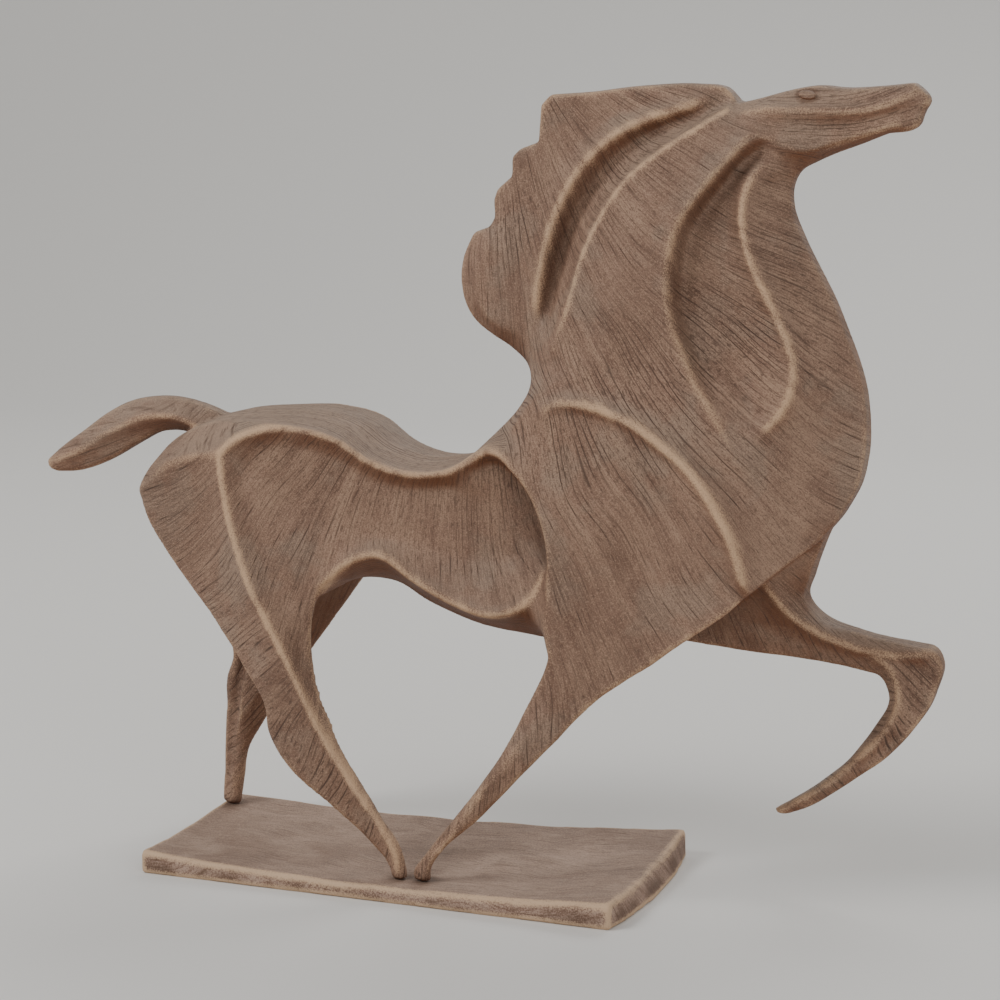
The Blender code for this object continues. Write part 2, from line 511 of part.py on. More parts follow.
def make_horse(material, collection, cutter):
    """The carved horse, cut at the feet to sit on the plinth."""
    margin = 3 * CELL
    profile = np.vstack([stroke for strokes in OUTLINES.values() for stroke in strokes])
    (left, foot), (right, crown) = profile.min(axis=0), profile.max(axis=0)
    deepest = max(point[2] for curves in (SHARED_CURVES, NEAR_CURVES, FAR_CURVES)
                  for curve in curves.values() for point in curve)
    x = np.arange(left - margin, right + margin, CELL)
    y = np.arange(-deepest - margin, deepest + margin, CELL)
    z = np.arange(foot - margin, crown + margin, CELL)
    points, faces = surface_net(close_pinches(soften(carve_field(x, y, z))), x, y, z)
    points = points * SCALE + (0, 0, PLINTH_THICKNESS - SCALE * PATTERN_FLOOR)
    horse = new_object("horse", points, faces, material, collection)
    fewer = horse.modifiers.new("fewer facets", "DECIMATE")
    fewer.ratio = HORSE_TRIANGLES / (2 * len(faces))
    feet = horse.modifiers.new("feet", "BOOLEAN")
    feet.operation = "DIFFERENCE"
    feet.object = cutter
    return horse


def main():
    for old in list(bpy.data.objects):
        bpy.data.objects.remove(old)
    parts = bpy.data.collections.new("wooden horse statue")
    cutters = bpy.data.collections.new("cutters")
    for collection in (parts, cutters):
        bpy.context.scene.collection.children.link(collection)
    carved = wood("carved wood", (0.27, 0.17, 0.115), 0.62)
    board = wood("plinth wood", (0.26, 0.175, 0.125), 0.66)
    make_plinth("plinth", 0, board, parts)
    cutter = make_plinth("foot cutter", FOOT_GAP, board, cutters)
    cutter.hide_render = True
    cutter.display_type = "WIRE"
    make_horse(carved, parts, cutter)


main()
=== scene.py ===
# Looks for the carved wooden horse: the fine carving, the eyes, the plinth's worn board, their wood,
# and the floor, light and camera around them.
import math

import bpy
import numpy as np
from mathutils.bvhtree import BVHTree
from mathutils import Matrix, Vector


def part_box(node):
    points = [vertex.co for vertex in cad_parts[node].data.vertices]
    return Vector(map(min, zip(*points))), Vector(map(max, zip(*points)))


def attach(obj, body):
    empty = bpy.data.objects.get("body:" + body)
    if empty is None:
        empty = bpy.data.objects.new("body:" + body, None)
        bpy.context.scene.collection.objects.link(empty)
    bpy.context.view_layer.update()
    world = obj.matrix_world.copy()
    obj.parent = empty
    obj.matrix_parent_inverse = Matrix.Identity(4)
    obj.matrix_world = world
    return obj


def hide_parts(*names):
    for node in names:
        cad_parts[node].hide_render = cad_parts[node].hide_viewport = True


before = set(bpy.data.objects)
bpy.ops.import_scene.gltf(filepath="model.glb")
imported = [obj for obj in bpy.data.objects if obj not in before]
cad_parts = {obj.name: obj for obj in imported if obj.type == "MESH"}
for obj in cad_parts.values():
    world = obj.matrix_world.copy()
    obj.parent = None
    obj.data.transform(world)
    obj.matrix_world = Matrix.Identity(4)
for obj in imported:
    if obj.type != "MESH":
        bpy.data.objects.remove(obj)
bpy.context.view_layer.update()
mm = 0.001

# The camera stands where the photograph was taken from, worked out from the plinth's corners.
camera = dict(
    place=(0.5893, -1.53045, 0.5345),  # metres
    turn=19.195,                       # degrees round from square-on
    dip=10.569,                        # degrees looking down
    lens=100.0,                        # mm, on a sensor 36 mm wide
)
lensData = bpy.data.cameras.new("camera")
lensData.lens = camera["lens"]
lensData.sensor_width = 36.0
lensData.clip_start = 0.05
viewer = bpy.data.objects.new("camera", lensData)
viewer.location = camera["place"]
viewer.rotation_euler = (math.radians(90 - camera["dip"]), 0, math.radians(camera["turn"]))
bpy.context.scene.collection.objects.link(viewer)
bpy.context.scene.camera = viewer

# The carving. Points are (x, z) or (x, z, d) in mm: x towards the head, z up from the floor, d out
# from the middle plane. These are the part's own curves, with finer ones added where a closer look
# shows them.
backLine = [(52, 267), (42, 259), (29, 254), (15, 253), (2, 255), (-10, 259), (-31, 272), (-48, 277),
            (-65, 279), (-90, 278), (-117, 275), (-135, 268), (-150, 256), (-164, 240), (-169, 230)]
buttockLine = [(-169, 230), (-163, 214), (-147, 192), (-133, 178), (-117, 161)]
groinLine = [(-117, 161), (-90, 158), (-66, 164), (-39, 178)]
keelLine = [(-39, 178), (-29, 181), (-9, 180), (13, 169), (43, 158), (85, 154), (110, 152)]
brisketLine = [(110, 152), (150, 152), (193, 174), (217, 194), (237, 211), (252, 223)]
chestLine = [(252, 223), (266, 241), (273, 255), (277, 283), (275, 309), (265, 338), (253, 366),
             (238, 394), (231, 412), (231, 423), (235, 431), (245, 437), (274, 449), (285, 453)]
muzzleLine = [(285, 453), (297, 455), (301, 457.5), (304, 466), (307.5, 471.5), (303, 477.5),
              (298, 481)]
foreheadLine = [(298, 481), (280, 479), (261, 478), (245, 479), (228, 476), (200, 469)]
maneTopLine = [(200, 469), (193, 477), (177, 479), (112, 474), (88, 472)]
maneSteps = [(88, 472), (82, 466), (81, 445), (69, 441), (64, 436), (65, 425), (55, 417), (53, 411),
             (54, 401), (51, 395), (43, 390)]
maneRearLine = [(43, 390), (38, 377), (37, 361), (42, 344), (52, 333), (64, 326), (76, 315), (78, 305),
                (72, 292), (62, 279), (52, 267)]
nearHindRear = [(-169, 230), (-163, 214), (-147, 192), (-117, 161), (-95, 133), (-77, 104),
                (-77, 93), (-63, 73), (-35, 51), (-8, 30), (3, 19), (6, 11), (6, 0)]
nearHindFront = [(16, 0), (16, 10), (15, 18), (12, 28), (-2, 50), (-14, 68), (-26, 87), (-38, 112),
                 (-45, 132), (-48, 149), (-48, 161), (-46, 172), (-33, 190)]
nearForeRear = [(96, 238), (102, 212), (103, 172), (101, 145), (93, 128), (61, 71), (43, 48),
                (25, 24), (19, 15), (20, 9), (20, 0)]
nearForeFront = [(32, 0), (31, 9), (31, 16), (39, 30), (59, 49), (91, 84), (114, 109), (134, 130),
                 (167, 154), (193, 174), (217, 194), (224, 206)]
farHindRear = [(-169, 230), (-160, 208), (-148, 178), (-142, 150), (-140, 125), (-140, 111),
               (-144, 99), (-147, 80), (-150, 39), (-152, 0)]
farHindFront = [(-140, 0), (-137, 27), (-132, 51), (-123, 67), (-82, 126), (-49, 169), (-33, 190)]
farForeFront = [(262, 240), (250, 218), (241, 195), (237, 182), (245, 170), (268, 162), (302, 157),
                (313, 155), (317, 148), (313, 128), (300, 104), (286, 88), (259, 66), (232, 48),
                (222, 45), (217, 48)]
farForeRear = [(217, 48), (241, 64), (262, 83), (277, 104), (286, 126), (281, 137), (270, 139),
               (235, 144), (195, 147), (150, 153), (110, 165)]
tailTop = [(-100, 266), (-117, 275), (-139, 283), (-163, 285), (-186, 281), (-210, 266),
           (-233, 250), (-243, 241)]
tailTip = [(-243, 241), (-242, 236), (-237, 234)]
tailUnder = [(-237, 234), (-222, 235), (-200, 243), (-177, 256), (-160, 264), (-146, 265),
             (-125, 255), (-105, 250)]

horse = dict(
    cell=1.7,            # mm between grid lines; finer than this passes 200,000 triangles
    dishing=0.007,       # 1/mm, how far the panels between ridges sink
    ridgePull=60.0,      # how firmly the surface is pinned to a ridge
    edgeRounding=2.6,    # mm left along the sawn profile
    curveStep=4.0,       # mm between points taken along a curve
    reach=20.0,          # mm over which a curve's distance matters
    toolMarks=0.35,      # mm, the gentle unevenness that hand tools leave
    markSize=26.0,       # mm across one such mark
    edgeRadius=2.2,      # mm over which an edge counts as worn
    edgeWearAndHighlight=0.6,        # how rubbed, and painted highlit, the profile's edges are next to the ridges' crests
    edgeShare=0.12,      # how far the share of wood falls under a half where an edge is fully worn
    crestDepth=5.0,      # mm off a drawn face within which its crests' wear and painted highlight show
    patternTop=480.7,    # mm, the pattern's crown, which goes where the frame's horse has it
    footGap=0.3,         # mm between feet and plinth
    outlines={
        "body": [backLine, buttockLine, groinLine, keelLine, brisketLine, chestLine, muzzleLine,
                 foreheadLine, maneTopLine, maneSteps, maneRearLine],
        "near hind leg": [nearHindRear, nearHindFront, [(-33, 190), (-50, 230), (-169, 230)]],
        "near foreleg": [nearForeRear, nearForeFront, [(224, 206), (160, 250), (96, 238)]],
        "far hind leg": [farHindRear, farHindFront, [(-33, 190), (-50, 230), (-169, 230)]],
        "far foreleg": [farForeFront, farForeRear, [(110, 165), (160, 240), (262, 240)]],
        "tail": [tailTop, tailTip, tailUnder, [(-105, 250), (-100, 266)]],
    },
    shared={             # the profile's own depth first, then ridges, grooves and panels
        "back": [(52, 267, 30), (42, 259, 38), (15, 253, 38), (2, 255, 39), (-10, 259, 40),
                 (-31, 272, 44), (-48, 277, 46), (-65, 279, 46)],
        "rump": [(-65, 279, 46), (-90, 278, 38), (-117, 275, 31), (-150, 256, 30),
                 (-169, 230, 28)],
        "keel": [(-39, 178, 5), (-9, 180, 4), (13, 169, 4), (43, 158, 4), (98, 153, 10)],
        "chest": [(252, 223, 15), (266, 241, 11), (277, 283, 9), (265, 338, 8), (238, 394, 7),
                  (231, 423, 6), (245, 437, 5), (285, 453, 5), (298, 453, 5), (307, 471, 6),
                  (298, 481, 7)],
        "crown": [(298, 481, 7), (261, 478, 8), (228, 476, 9), (200, 469, 8), (177, 479, 6),
                  (112, 474, 6), (88, 472, 5)],
        "mane profile": [(88, 472, 5), (81, 445, 5), (65, 425, 5), (54, 401, 5), (43, 390, 5),
                         (37, 361, 5), (52, 333, 5), (76, 315, 6), (72, 292, 10), (62, 279, 18),
                         (52, 267, 30)],
        "croup ridge": [(-65, 278, 48), (-80, 275, 49), (-93, 269, 50), (-103, 260, 50)],
        "rump ridge": [(-103, 260, 50), (-120, 257, 46), (-139, 251, 40), (-166, 233, 30)],
        "withers ridge": [(42, 258, 38), (52, 264, 41), (62, 270, 44), (71, 269, 47), (80, 261, 49),
                          (89, 251, 50), (96, 238, 51), (100, 228, 52), (103, 200, 52),
                          (103, 172, 52)],
        "shoulder wall": [(52, 254, 34), (66, 261, 33), (77, 253, 30), (86, 242, 27), (94, 222, 24),
                          (97, 205, 24)],
        "belly rim": [(-42, 181, 41), (-33, 191, 40), (-24, 198, 39), (-9, 203, 38), (16, 189, 38),
                      (41, 177, 39), (65, 172, 40), (77, 175, 40), (86, 181, 39), (93, 192, 36),
                      (95, 207, 30)],
        "under the back ridge": [(-88, 254, 43), (-64, 264, 41), (-36, 259, 37), (-12, 246, 33),
                                 (12, 241, 30), (38, 244, 29)],
        "flank floor": [(-66, 232, 38), (-42, 224, 35), (-15, 215, 31), (15, 211, 28), (45, 204, 26),
                        (74, 205, 23)],
        "shoulder ridge": [(95, 284, 44), (99, 296, 47), (106, 300, 49), (128, 300, 52),
                           (149, 294, 55), (171, 281, 57), (188, 267, 58), (203, 247, 59),
                           (213, 226, 57), (218, 206, 52), (221, 196, 48)],
        "shoulder panel": [(112, 268, 47), (138, 262, 48), (160, 240, 49), (172, 215, 50)],
        "valley before the shoulder": [(160, 303, 48), (186, 288, 46), (207, 266, 43),
                                       (221, 243, 40), (229, 220, 36)],
        "breast": [(240, 275, 29), (246, 250, 25), (243, 230, 24)],
        "crest ridge": [(195, 465, 15), (184, 458, 19), (160, 442, 25), (143, 428, 28),
                        (131, 412, 30), (118, 385, 34), (110, 355, 37), (101, 330, 39)],
        "crest fillet": [(182, 464, 9), (150, 444, 14), (128, 423, 16), (111, 397, 18),
                         (103, 366, 22), (96, 338, 28)],
        "mane groove": [(192, 468, 6), (178, 463, 8), (150, 450, 9), (126, 431, 10), (108, 404, 11),
                        (97, 374, 13), (91, 346, 17)],
        "mane edge": [(182, 470, 10), (166, 465, 12), (150, 460, 14), (138, 455, 16),
                      (126, 447, 17), (112, 433, 18), (100, 413, 19), (92, 391, 20), (87, 366, 20),
                      (84, 341, 19)],
        "mane panel": [(150, 470, 7), (115, 455, 8), (92, 430, 9), (78, 400, 11), (70, 365, 12)],
        "mane rear panel": [(100, 466, 6), (80, 436, 6), (64, 405, 7)],
        "mane foot": [(54, 388, 10), (47, 370, 11), (50, 347, 11), (64, 337, 12)],
        "neck bulge": [(160, 420, 31), (146, 390, 36), (140, 360, 41), (136, 330, 45),
                       (125, 315, 46)],
        "withers bulge": [(108, 312, 45), (92, 300, 42), (78, 284, 36)],
        "neck edge": [(209, 450, 22), (200, 440, 26), (191, 429, 29), (181, 416, 32),
                      (173, 403, 34), (169, 388, 37), (168, 373, 39), (169, 358, 41),
                      (173, 346, 43), (180, 329, 44), (189, 311, 44), (199, 294, 43),
                      (206, 282, 42), (214, 271, 42)],
        "throat groove": [(213, 443, 14), (205, 436, 15), (196, 425, 17), (186, 412, 19),
                          (179, 401, 21), (175, 387, 23), (174, 372, 25), (175, 358, 28),
                          (179, 348, 30), (186, 331, 33), (200, 303, 39)],
        "throat floor": [(200, 412, 20), (194, 384, 22), (199, 352, 25), (210, 321, 28),
                         (217, 298, 34)],
        "throat ridge": [(219, 437, 16), (213, 430, 22), (209, 420, 25), (208, 408, 28),
                         (210, 396, 30), (215, 382, 32), (222, 369, 34), (230, 354, 35),
                         (237, 340, 36), (241, 325, 36), (240, 312, 37), (234, 299, 37),
                         (227, 291, 38), (220, 283, 38)],
        "throat pocket": [(222, 424, 11), (221, 406, 16), (228, 386, 20), (243, 355, 21),
                          (256, 322, 20), (256, 298, 19)],
        "forehead": [(212, 471, 11), (232, 472, 13), (252, 471, 13), (272, 472, 11), (290, 475, 9)],
        "brow ridge": [(206, 464, 15), (216, 466, 18), (233, 466, 18), (250, 466, 17),
                       (264, 466, 15.5), (277, 467, 13), (285, 469, 12), (292, 472.5, 10),
                       (299, 475, 8)],
        "cheek": [(216, 459, 17), (235, 456, 15), (255, 456, 13), (275, 460, 10), (295, 466, 7)],
        "jaw ridge": [(200, 440, 26), (205, 446, 24), (209, 450.5, 22), (214, 451.5, 19),
                      (220, 450, 17), (229, 446, 16), (239, 444, 15), (256, 447, 13.5),
                      (268, 450.5, 12.5), (279, 454, 11.5), (290, 459, 9.5)],
    },
    near={
        "hind leg ridge": [(-103, 260, 50), (-98, 233, 54), (-90, 207, 57), (-80, 182, 60),
                           (-71, 165, 60), (-60, 145, 60), (-48, 121, 60), (-38, 101, 59),
                           (-24, 78, 58), (-12, 60, 57), (1, 42, 56), (10, 23, 55), (12, 8, 55)],
        "shin hollow": [(7, 38, 52), (-8, 60, 51.5), (-20, 80, 50.5), (-33, 106, 49),
                        (-42, 128, 47), (-50, 150, 45)],
        "hind leg rear": [(-169, 230, 26), (-163, 214, 28), (-147, 192, 32), (-117, 161, 40),
                          (-95, 133, 45), (-76, 103, 48), (-62, 73, 50), (-8, 30, 52), (5, 10, 53)],
        "hind leg front": [(18, 12, 53), (12, 28, 53), (-2, 50, 52), (-14, 68, 51), (-26, 87, 50),
                           (-38, 112, 48), (-45, 132, 46), (-48, 149, 44), (-47, 165, 42),
                           (-42, 181, 41)],
        "hip wall": [(-90, 250, 43), (-82, 222, 46), (-70, 196, 47), (-58, 172, 46)],
        "foreleg rear": [(103, 172, 52), (101, 145, 53), (61, 71, 53), (21, 10, 53)],
        "foreleg front": [(30, 10, 53), (91, 84, 53), (134, 130, 54), (193, 174, 51),
                          (217, 194, 46), (237, 211, 27), (252, 223, 15)],
        "foreleg face": [(26, 12, 55), (50, 52, 57), (86, 98, 57), (120, 145, 54), (140, 180, 51)],
    },
    far={
        "hind leg ridge": [(-103, 260, 50), (-104, 225, 54), (-112, 180, 57), (-122, 140, 59),
                           (-131, 105, 60), (-138, 70, 61), (-144, 35, 60), (-146, 12, 58)],
        "hind leg rear": [(-169, 230, 26), (-160, 208, 30), (-141, 150, 42), (-138, 111, 48),
                          (-146, 80, 52), (-152, 10, 54)],
        "hip hollow": [(-92, 245, 44), (-84, 205, 45), (-78, 175, 46)],
        "hind leg front": [(-139, 10, 55), (-132, 51, 54), (-123, 67, 53), (-82, 126, 50),
                           (-49, 169, 45), (-42, 181, 41)],
        "brisket": [(103, 172, 51), (108, 152, 49), (150, 152, 49), (193, 174, 50), (217, 194, 46),
                    (237, 211, 27), (252, 223, 15)],
    },
    raisedLeg={          # here d is half the thickness
        "front": [(262, 240, 8), (241, 195, 12), (237, 182, 11), (268, 162, 8), (313, 155, 7),
                  (317, 148, 7), (300, 104, 7), (259, 66, 6), (217, 48, 5)],
        "rear": [(217, 48, 5), (262, 83, 6), (286, 126, 7), (270, 139, 7), (195, 147, 11),
                 (150, 153, 14), (110, 165, 16)],
        "arm ridge": [(213, 216, 33), (217, 200, 30), (223, 186, 25), (234, 171, 20),
                      (246, 163, 17), (260, 157, 14), (285, 152, 12), (312, 153, 9)],
        "arm hollow": [(150, 180, 17), (195, 166, 16), (235, 153, 11), (268, 146, 9)],
        "shank ridge": [(272, 149, 10), (283, 147, 11), (291, 137, 11.5), (293, 125, 12),
                        (289, 113, 12), (281, 100, 11.5), (268, 86, 10.5), (254, 72, 9),
                        (237, 60, 8), (222, 51, 6)],
        "shank hollow": [(304, 144, 7), (304, 122, 7), (292, 99, 7), (272, 80, 6.5)],
    },
    tail={               # and here
        "top": [(-100, 267, 7), (-139, 283, 5), (-186, 281, 5), (-243, 241, 4)],
        "under": [(-237, 234, 4), (-200, 243, 5), (-160, 264, 6), (-105, 250, 9)],
        "tail ridge": [(-241, 239, 5), (-217, 250, 9), (-194, 263, 11), (-171, 273, 12),
                       (-149, 274, 13), (-128, 266, 13), (-105, 258, 13)],
    },
    innerFaces={         # height against depth of each standing leg's inner face
        "near hind leg": [(0, 43), (50, 42), (100, 38), (125, 33), (150, 19), (170, -4)],
        "near foreleg": [(0, 43), (50, 42), (100, 39), (130, 32), (150, 18), (165, -8)],
        "far hind leg": [(0, 43), (50, 42), (100, 37), (130, 28), (155, 10), (175, -8)],
    },
    legEdge=(4.5, 1.2),  # mm that a leg is thick at its edge, and mm gained for each mm inwards
    # height against depth of the raised leg's middle, then x against mm that the back's middle
    # rises over its sides, with the mm out from the middle plane to where the rise has died away
    # and the heights where it starts and is full
    raisedLegDepth=[(45, -38), (140, -36), (165, -34), (185, -28), (205, -20), (230, -10)],
    backCrown=[(-150, 0), (-120, 2), (-60, 3), (-10, 4.5), (30, 4.5), (52, 0)],
    crownWidth=42.0,
    crownHeights=(215, 235),
    steepest=8.0,        # the square of a face's slope, past which it counts as no steeper
    softening=2,         # rounds of smoothing over the drawn surface
    troughWidth=5.0,     # mm from a trough's middle to where it has mostly died away
    troughOffset=8.0,    # mm from a bead's crest to the troughs beside it
    beads={              # mm raised and wide, mm dug left and right of the stroke, how rubbed and painted highlit, and the mm over which it dies away at its start and at its end
                         # the mm over which it dies away at its start and at its end
        "back": (1.0, 3.2, 0.0, 0.0, 0.8, 0, 0),
        "croup ridge": (1.1, 3.2, 0.6, 0.0, 0.9, 0, 0),
        "rump ridge": (0.5, 3.2, 0.2, 0.2, 0.5, 0, 20),
        "hind leg ridge": (1.1, 2.8, 0.8, 0.0, 0.9, 0, 0),
        "withers ridge": (0.7, 2.8, 0.0, 0.8, 0.6, 0, 20),
        "belly rim": (1.5, 3.0, 0.3, 0.9, 0.8, 0, 12),
        "shoulder ridge": (1.5, 3.1, 1.0, 0.8, 0.9, 34, 10),
        "crest ridge": (0.9, 2.1, 0.0, 0.5, 0.8, 0, 25),
        "mane edge": (1.4, 3.6, 1.2, 0.2, 0.75, 8, 14),
        "neck edge": (1.1, 2.6, 1.2, 0.0, 0.6, 0, 22),
        "throat ridge": (1.5, 2.9, 0.3, 1.0, 0.8, 14, 14),
        "brow ridge": (0.7, 2.1, 0.0, 0.2, 0.5, 0, 0),
        "jaw ridge": (0.7, 2.1, 0.2, 0.6, 0.5, 0, 0),
        "hind leg front": (0.7, 2.4, 0.0, 0.3, 0.5, 20, 0),
        "foreleg front": (0.4, 2.4, 0.0, 0.2, 0.35, 20, 20),
        "arm ridge": (0.9, 2.8, 0.3, 0.6, 0.7, 30, 8),
        "shank ridge": (0.9, 2.4, 0.2, 0.4, 0.7, 8, 14),
        "tail ridge": (0.7, 2.2, 0.2, 0.3, 0.6, 8, 8),
    },
    skyRays=14,          # rays cast from each point to find how shut in it is
    skyReach=110.0,      # mm that a ray goes
    skyStart=0.6,        # mm off the surface where it starts
    shutIn=(0.10, 0.62), # share of rays stopped at which the painted shade starts and is full
    footContactShade=(1.2, 3.5),  # how strong the painted contact shade is where the feet meet the board, and mm up to a third of it
    kept=190000,         # triangles left after thinning
)

plinth = dict(
    cell=1.7,            # mm between grid lines
    rounding=3.4,        # mm worn off the top's edges
    cornerRounding=2.5,  # mm off the upright ones
    footRounding=1.2,    # and off the lowest ones
    thickness=7.1,       # mm in the middle of the board
    frontRise=3.5,       # mm that it gets thicker towards the head end
    endCup=5.9,          # mm that its top rises towards the ends
    sideCup=2.5,         # mm that it rises towards the long edges
    twist=1.0,           # mm that two opposite corners are up and the other two down
    flare=4.0,           # mm that the near long edge runs out towards the head end
    slant=1.8,           # mm that the head end is off square
    endBulge=7.5,        # mm that the foot of the head end bows out
    length=304.0,        # mm, before the bulge
    wear=0.25,           # mm of dents along the edges
    hollows=0.5,         # mm of unevenness in its top
    inset=0.2,           # mm that the upright faces stand in from the box
    dentSize=24.0,       # mm across one dent
    hollowSize=38.0,     # mm across one low or high place in its top
    bowLost=0.9,         # share of the head end's bow that is gone at the top
    margin=3,            # grid cells left free round it
    edgeRadius=2.0,      # mm over which an edge counts as worn
    edgeShare=0.10,      # how far the share of wood falls under a half where an edge is fully worn
    sideDarkStart=2.0,      # mm under the top where the sides start to darken
    sideDarkFull=9.0,       # and where it is full
    patch=20.0,          # mm across the dark patches on its sides
    patchShare=(0.6, 0.5),  # the darkening's mean strength there, and how far patches take it up or down
    halo=13.0,           # mm from a foot's middle to where the grime and painted contact shade round it have mostly gone
    haloDrop=0.1,        # how fast that darkening goes with each mm down the board's side
    footMiddle=6.0,      # mm from a leg's inner face to the middle of its foot
)


def readTable(pairs, values):
    # a value read off a short table of (position, value) pairs
    positions, results = zip(*pairs)
    return np.interp(values, positions, results)


def smoothCurve(points, spacing):
    # cubic through the points, each tangent the mean of its two chords' slopes, evenly sampled
    p = np.array(points, float)
    length = np.linalg.norm(np.diff(p[:, :2], axis=0), axis=1)
    along = np.concatenate(([0.0], np.cumsum(length)))
    slope = np.diff(p, axis=0) / length[:, None]
    before, after = length[:-1, None], length[1:, None]
    middle = (slope[:-1] * after + slope[1:] * before) / (before + after)
    tangent = np.vstack([slope[:1], middle, slope[-1:]])
    s = np.linspace(0, along[-1], max(2, int(along[-1] / spacing) + 2))
    i = np.clip(np.searchsorted(along, s, side="right") - 1, 0, len(length) - 1)
    step = length[i][:, None]
    u = (s - along[i])[:, None] / step
    start = (2 * u**3 - 3 * u**2 + 1) * p[i] + (u**3 - 2 * u**2 + u) * step * tangent[i]
    return start + (3 * u**2 - 2 * u**3) * p[i + 1] + (u**3 - u**2) * step * tangent[i + 1]


def nearestCurve(curves, x, z, reach):
    # distance from each grid point to the nearest drawn piece, and the depth drawn there
    distance = np.full((len(x), len(z)), float(reach))
    depth = np.zeros_like(distance)
    for curve in curves:
        for a, b in zip(curve[:-1], curve[1:]):
            low, high = np.minimum(a, b)[:2] - reach, np.maximum(a, b)[:2] + reach
            i = slice(*np.searchsorted(x, (low[0], high[0])))
            k = slice(*np.searchsorted(z, (low[1], high[1])))
            dx, dz = x[i, None] - a[0], z[None, k] - a[1]
            run, rise = b[0] - a[0], b[1] - a[1]
            t = np.clip((dx * run + dz * rise) / (run * run + rise * rise + 1e-9), 0, 1)
            d = np.hypot(dx - t * run, dz - t * rise)
            closer = d < distance[i, k]
            distance[i, k] = np.where(closer, d, distance[i, k])
            if len(a) > 2:
                depth[i, k] = np.where(closer, a[2] + t * (b[2] - a[2]), depth[i, k])
    return distance, depth


def outlineDistance(strokes, x, z):
    # signed distance to the closed outline of the strokes, negative inside
    drawn = [np.array(s, float) if s is maneSteps else smoothCurve(s, horse["curveStep"])
             for s in strokes]
    outline = np.vstack([d[:-1] for d in drawn] + [drawn[0][:1]])
    distance, _ = nearestCurve([outline], x, z, horse["reach"])
    inside = np.zeros(distance.shape, bool)
    for (x0, z0), (x1, z1) in zip(outline[:-1], outline[1:]):
        if z0 != z1:
            beside = x[:, None] < x0 + (x1 - x0) * (z[None, :] - z0) / (z1 - z0)
            inside ^= ((z0 > z) != (z1 > z))[None, :] & beside
    return np.where(inside, -distance, distance)


def membrane(curves, x, z):
    # a sheet stretched between the curves: each point settles at its neighbours' mean, less a sag,
    # pulled to a curve's depth near that curve; coarse grids first, then finer ones
    drawn = [smoothCurve(c, horse["curveStep"]) for c in curves]
    height = None
    for stride in (8, 4, 2, 1):
        xs, zs = x[::stride], z[::stride]
        width = horse["cell"] * stride
        distance, target = nearestCurve(drawn, xs, zs, 3 * width)
        pull = horse["ridgePull"] * np.exp(-((distance / (0.6 * width)) ** 2))
        if height is None:
            height = np.full(distance.shape, target[pull > 1].mean())
        else:
            height = height.repeat(2, axis=0).repeat(2, axis=1)[: len(xs), : len(zs)]
        for _ in range(150):
            edge = np.pad(height, 1, mode="edge")
            around = edge[2:, 1:-1] + edge[:-2, 1:-1] + edge[1:-1, 2:] + edge[1:-1, :-2]
            height = (around + pull * target - horse["dishing"] * width**2) / (4 + pull)
    return height


def beadRelief(curves, x, z):
    # low beads along the named curves with troughs beside them, each a bell curve of the distance
    # from its line; where two meet, the higher bead and the deeper trough hold. Also how near a
    # crest each point is, from 0 to 1
    shape = (len(x), len(z))
    rise, dip, crest = np.zeros(shape), np.zeros(shape), np.zeros(shape)
    for name, (raised, width, left, right, rubAndHighlight, *free) in horse["beads"].items():
        if name not in curves:
            continue
        curve = smoothCurve(curves[name], 2.0)[:, :2]
        run = np.gradient(curve, axis=0)
        run /= np.linalg.norm(run, axis=1)[:, None]
        along = np.arange(len(curve)) * 2.0
        fade = np.ones(len(curve))
        for length, distance in zip(free, (along, along[::-1])):
            if length:
                fade *= np.clip(distance / length, 0, 1)
        beside = horse["troughOffset"] * np.stack([-run[:, 1], run[:, 0]], axis=1)
        for offset, size in ((beside, left), (-beside, right)):
            distance, value = nearestCurve([np.column_stack([curve + offset, size * fade])], x, z,
                                           3 * horse["troughWidth"])
            dip = np.maximum(dip, value * np.exp(-((distance / horse["troughWidth"]) ** 2)))
        distance, value = nearestCurve([np.column_stack([curve, fade])], x, z, 3 * width)
        bell = value * np.exp(-((distance / width) ** 2))
        rise, crest = np.maximum(rise, raised * bell), np.maximum(crest, rubAndHighlight * bell)
    return rise - dip * (1 - crest), crest


def readGrid(grid, points):
    # a flat grid's value at each point, both in grid steps
    low = np.clip(np.floor(points).astype(int), 0, np.array(grid.shape) - 2)
    part = points - low
    result = np.zeros(len(points))
    for corner in np.ndindex(*(2,) * grid.ndim):
        weight = np.prod(np.where(corner, part, 1 - part), axis=1)
        result += weight * grid[tuple((low + corner).T)]
    return result


def handMarks(shape, cell, size, seed):
    # gentle unevenness: nine long waves in random directions, added up, from -1 to 1
    random = np.random.default_rng(seed)
    i, k = np.meshgrid(np.arange(shape[0]) * cell, np.arange(shape[1]) * cell, indexing="ij")
    total = np.zeros(shape)
    for _ in range(9):
        turn, phase = random.uniform(0, 2 * np.pi, 2)
        wave = 2 * np.pi / (size * random.uniform(0.7, 2.2))
        total += np.sin(wave * (i * np.cos(turn) + k * np.sin(turn)) + phase)
    return total / 4.5


def roundedMax(a, b, radius):
    # the larger of two fields, its corner replaced by a parabola
    return np.maximum(a, b) + np.maximum(radius - np.abs(a - b), 0) ** 2 / (4 * radius)


def slab(outline, outer, inner, depth):
    # wood between an inner and an outer face, within an outline; faces measured square to themselves
    def steepness(height):
        rise, run = np.gradient(height, horse["cell"])
        return np.sqrt(1 + np.minimum(rise**2 + run**2, horse["steepest"]))[:, None, :]

    above = (depth - outer[:, None, :]) / steepness(outer)
    below = (inner[:, None, :] - depth) / steepness(inner)
    rounding = horse["edgeRounding"]
    return roundedMax(roundedMax(above, below, rounding), outline, rounding)


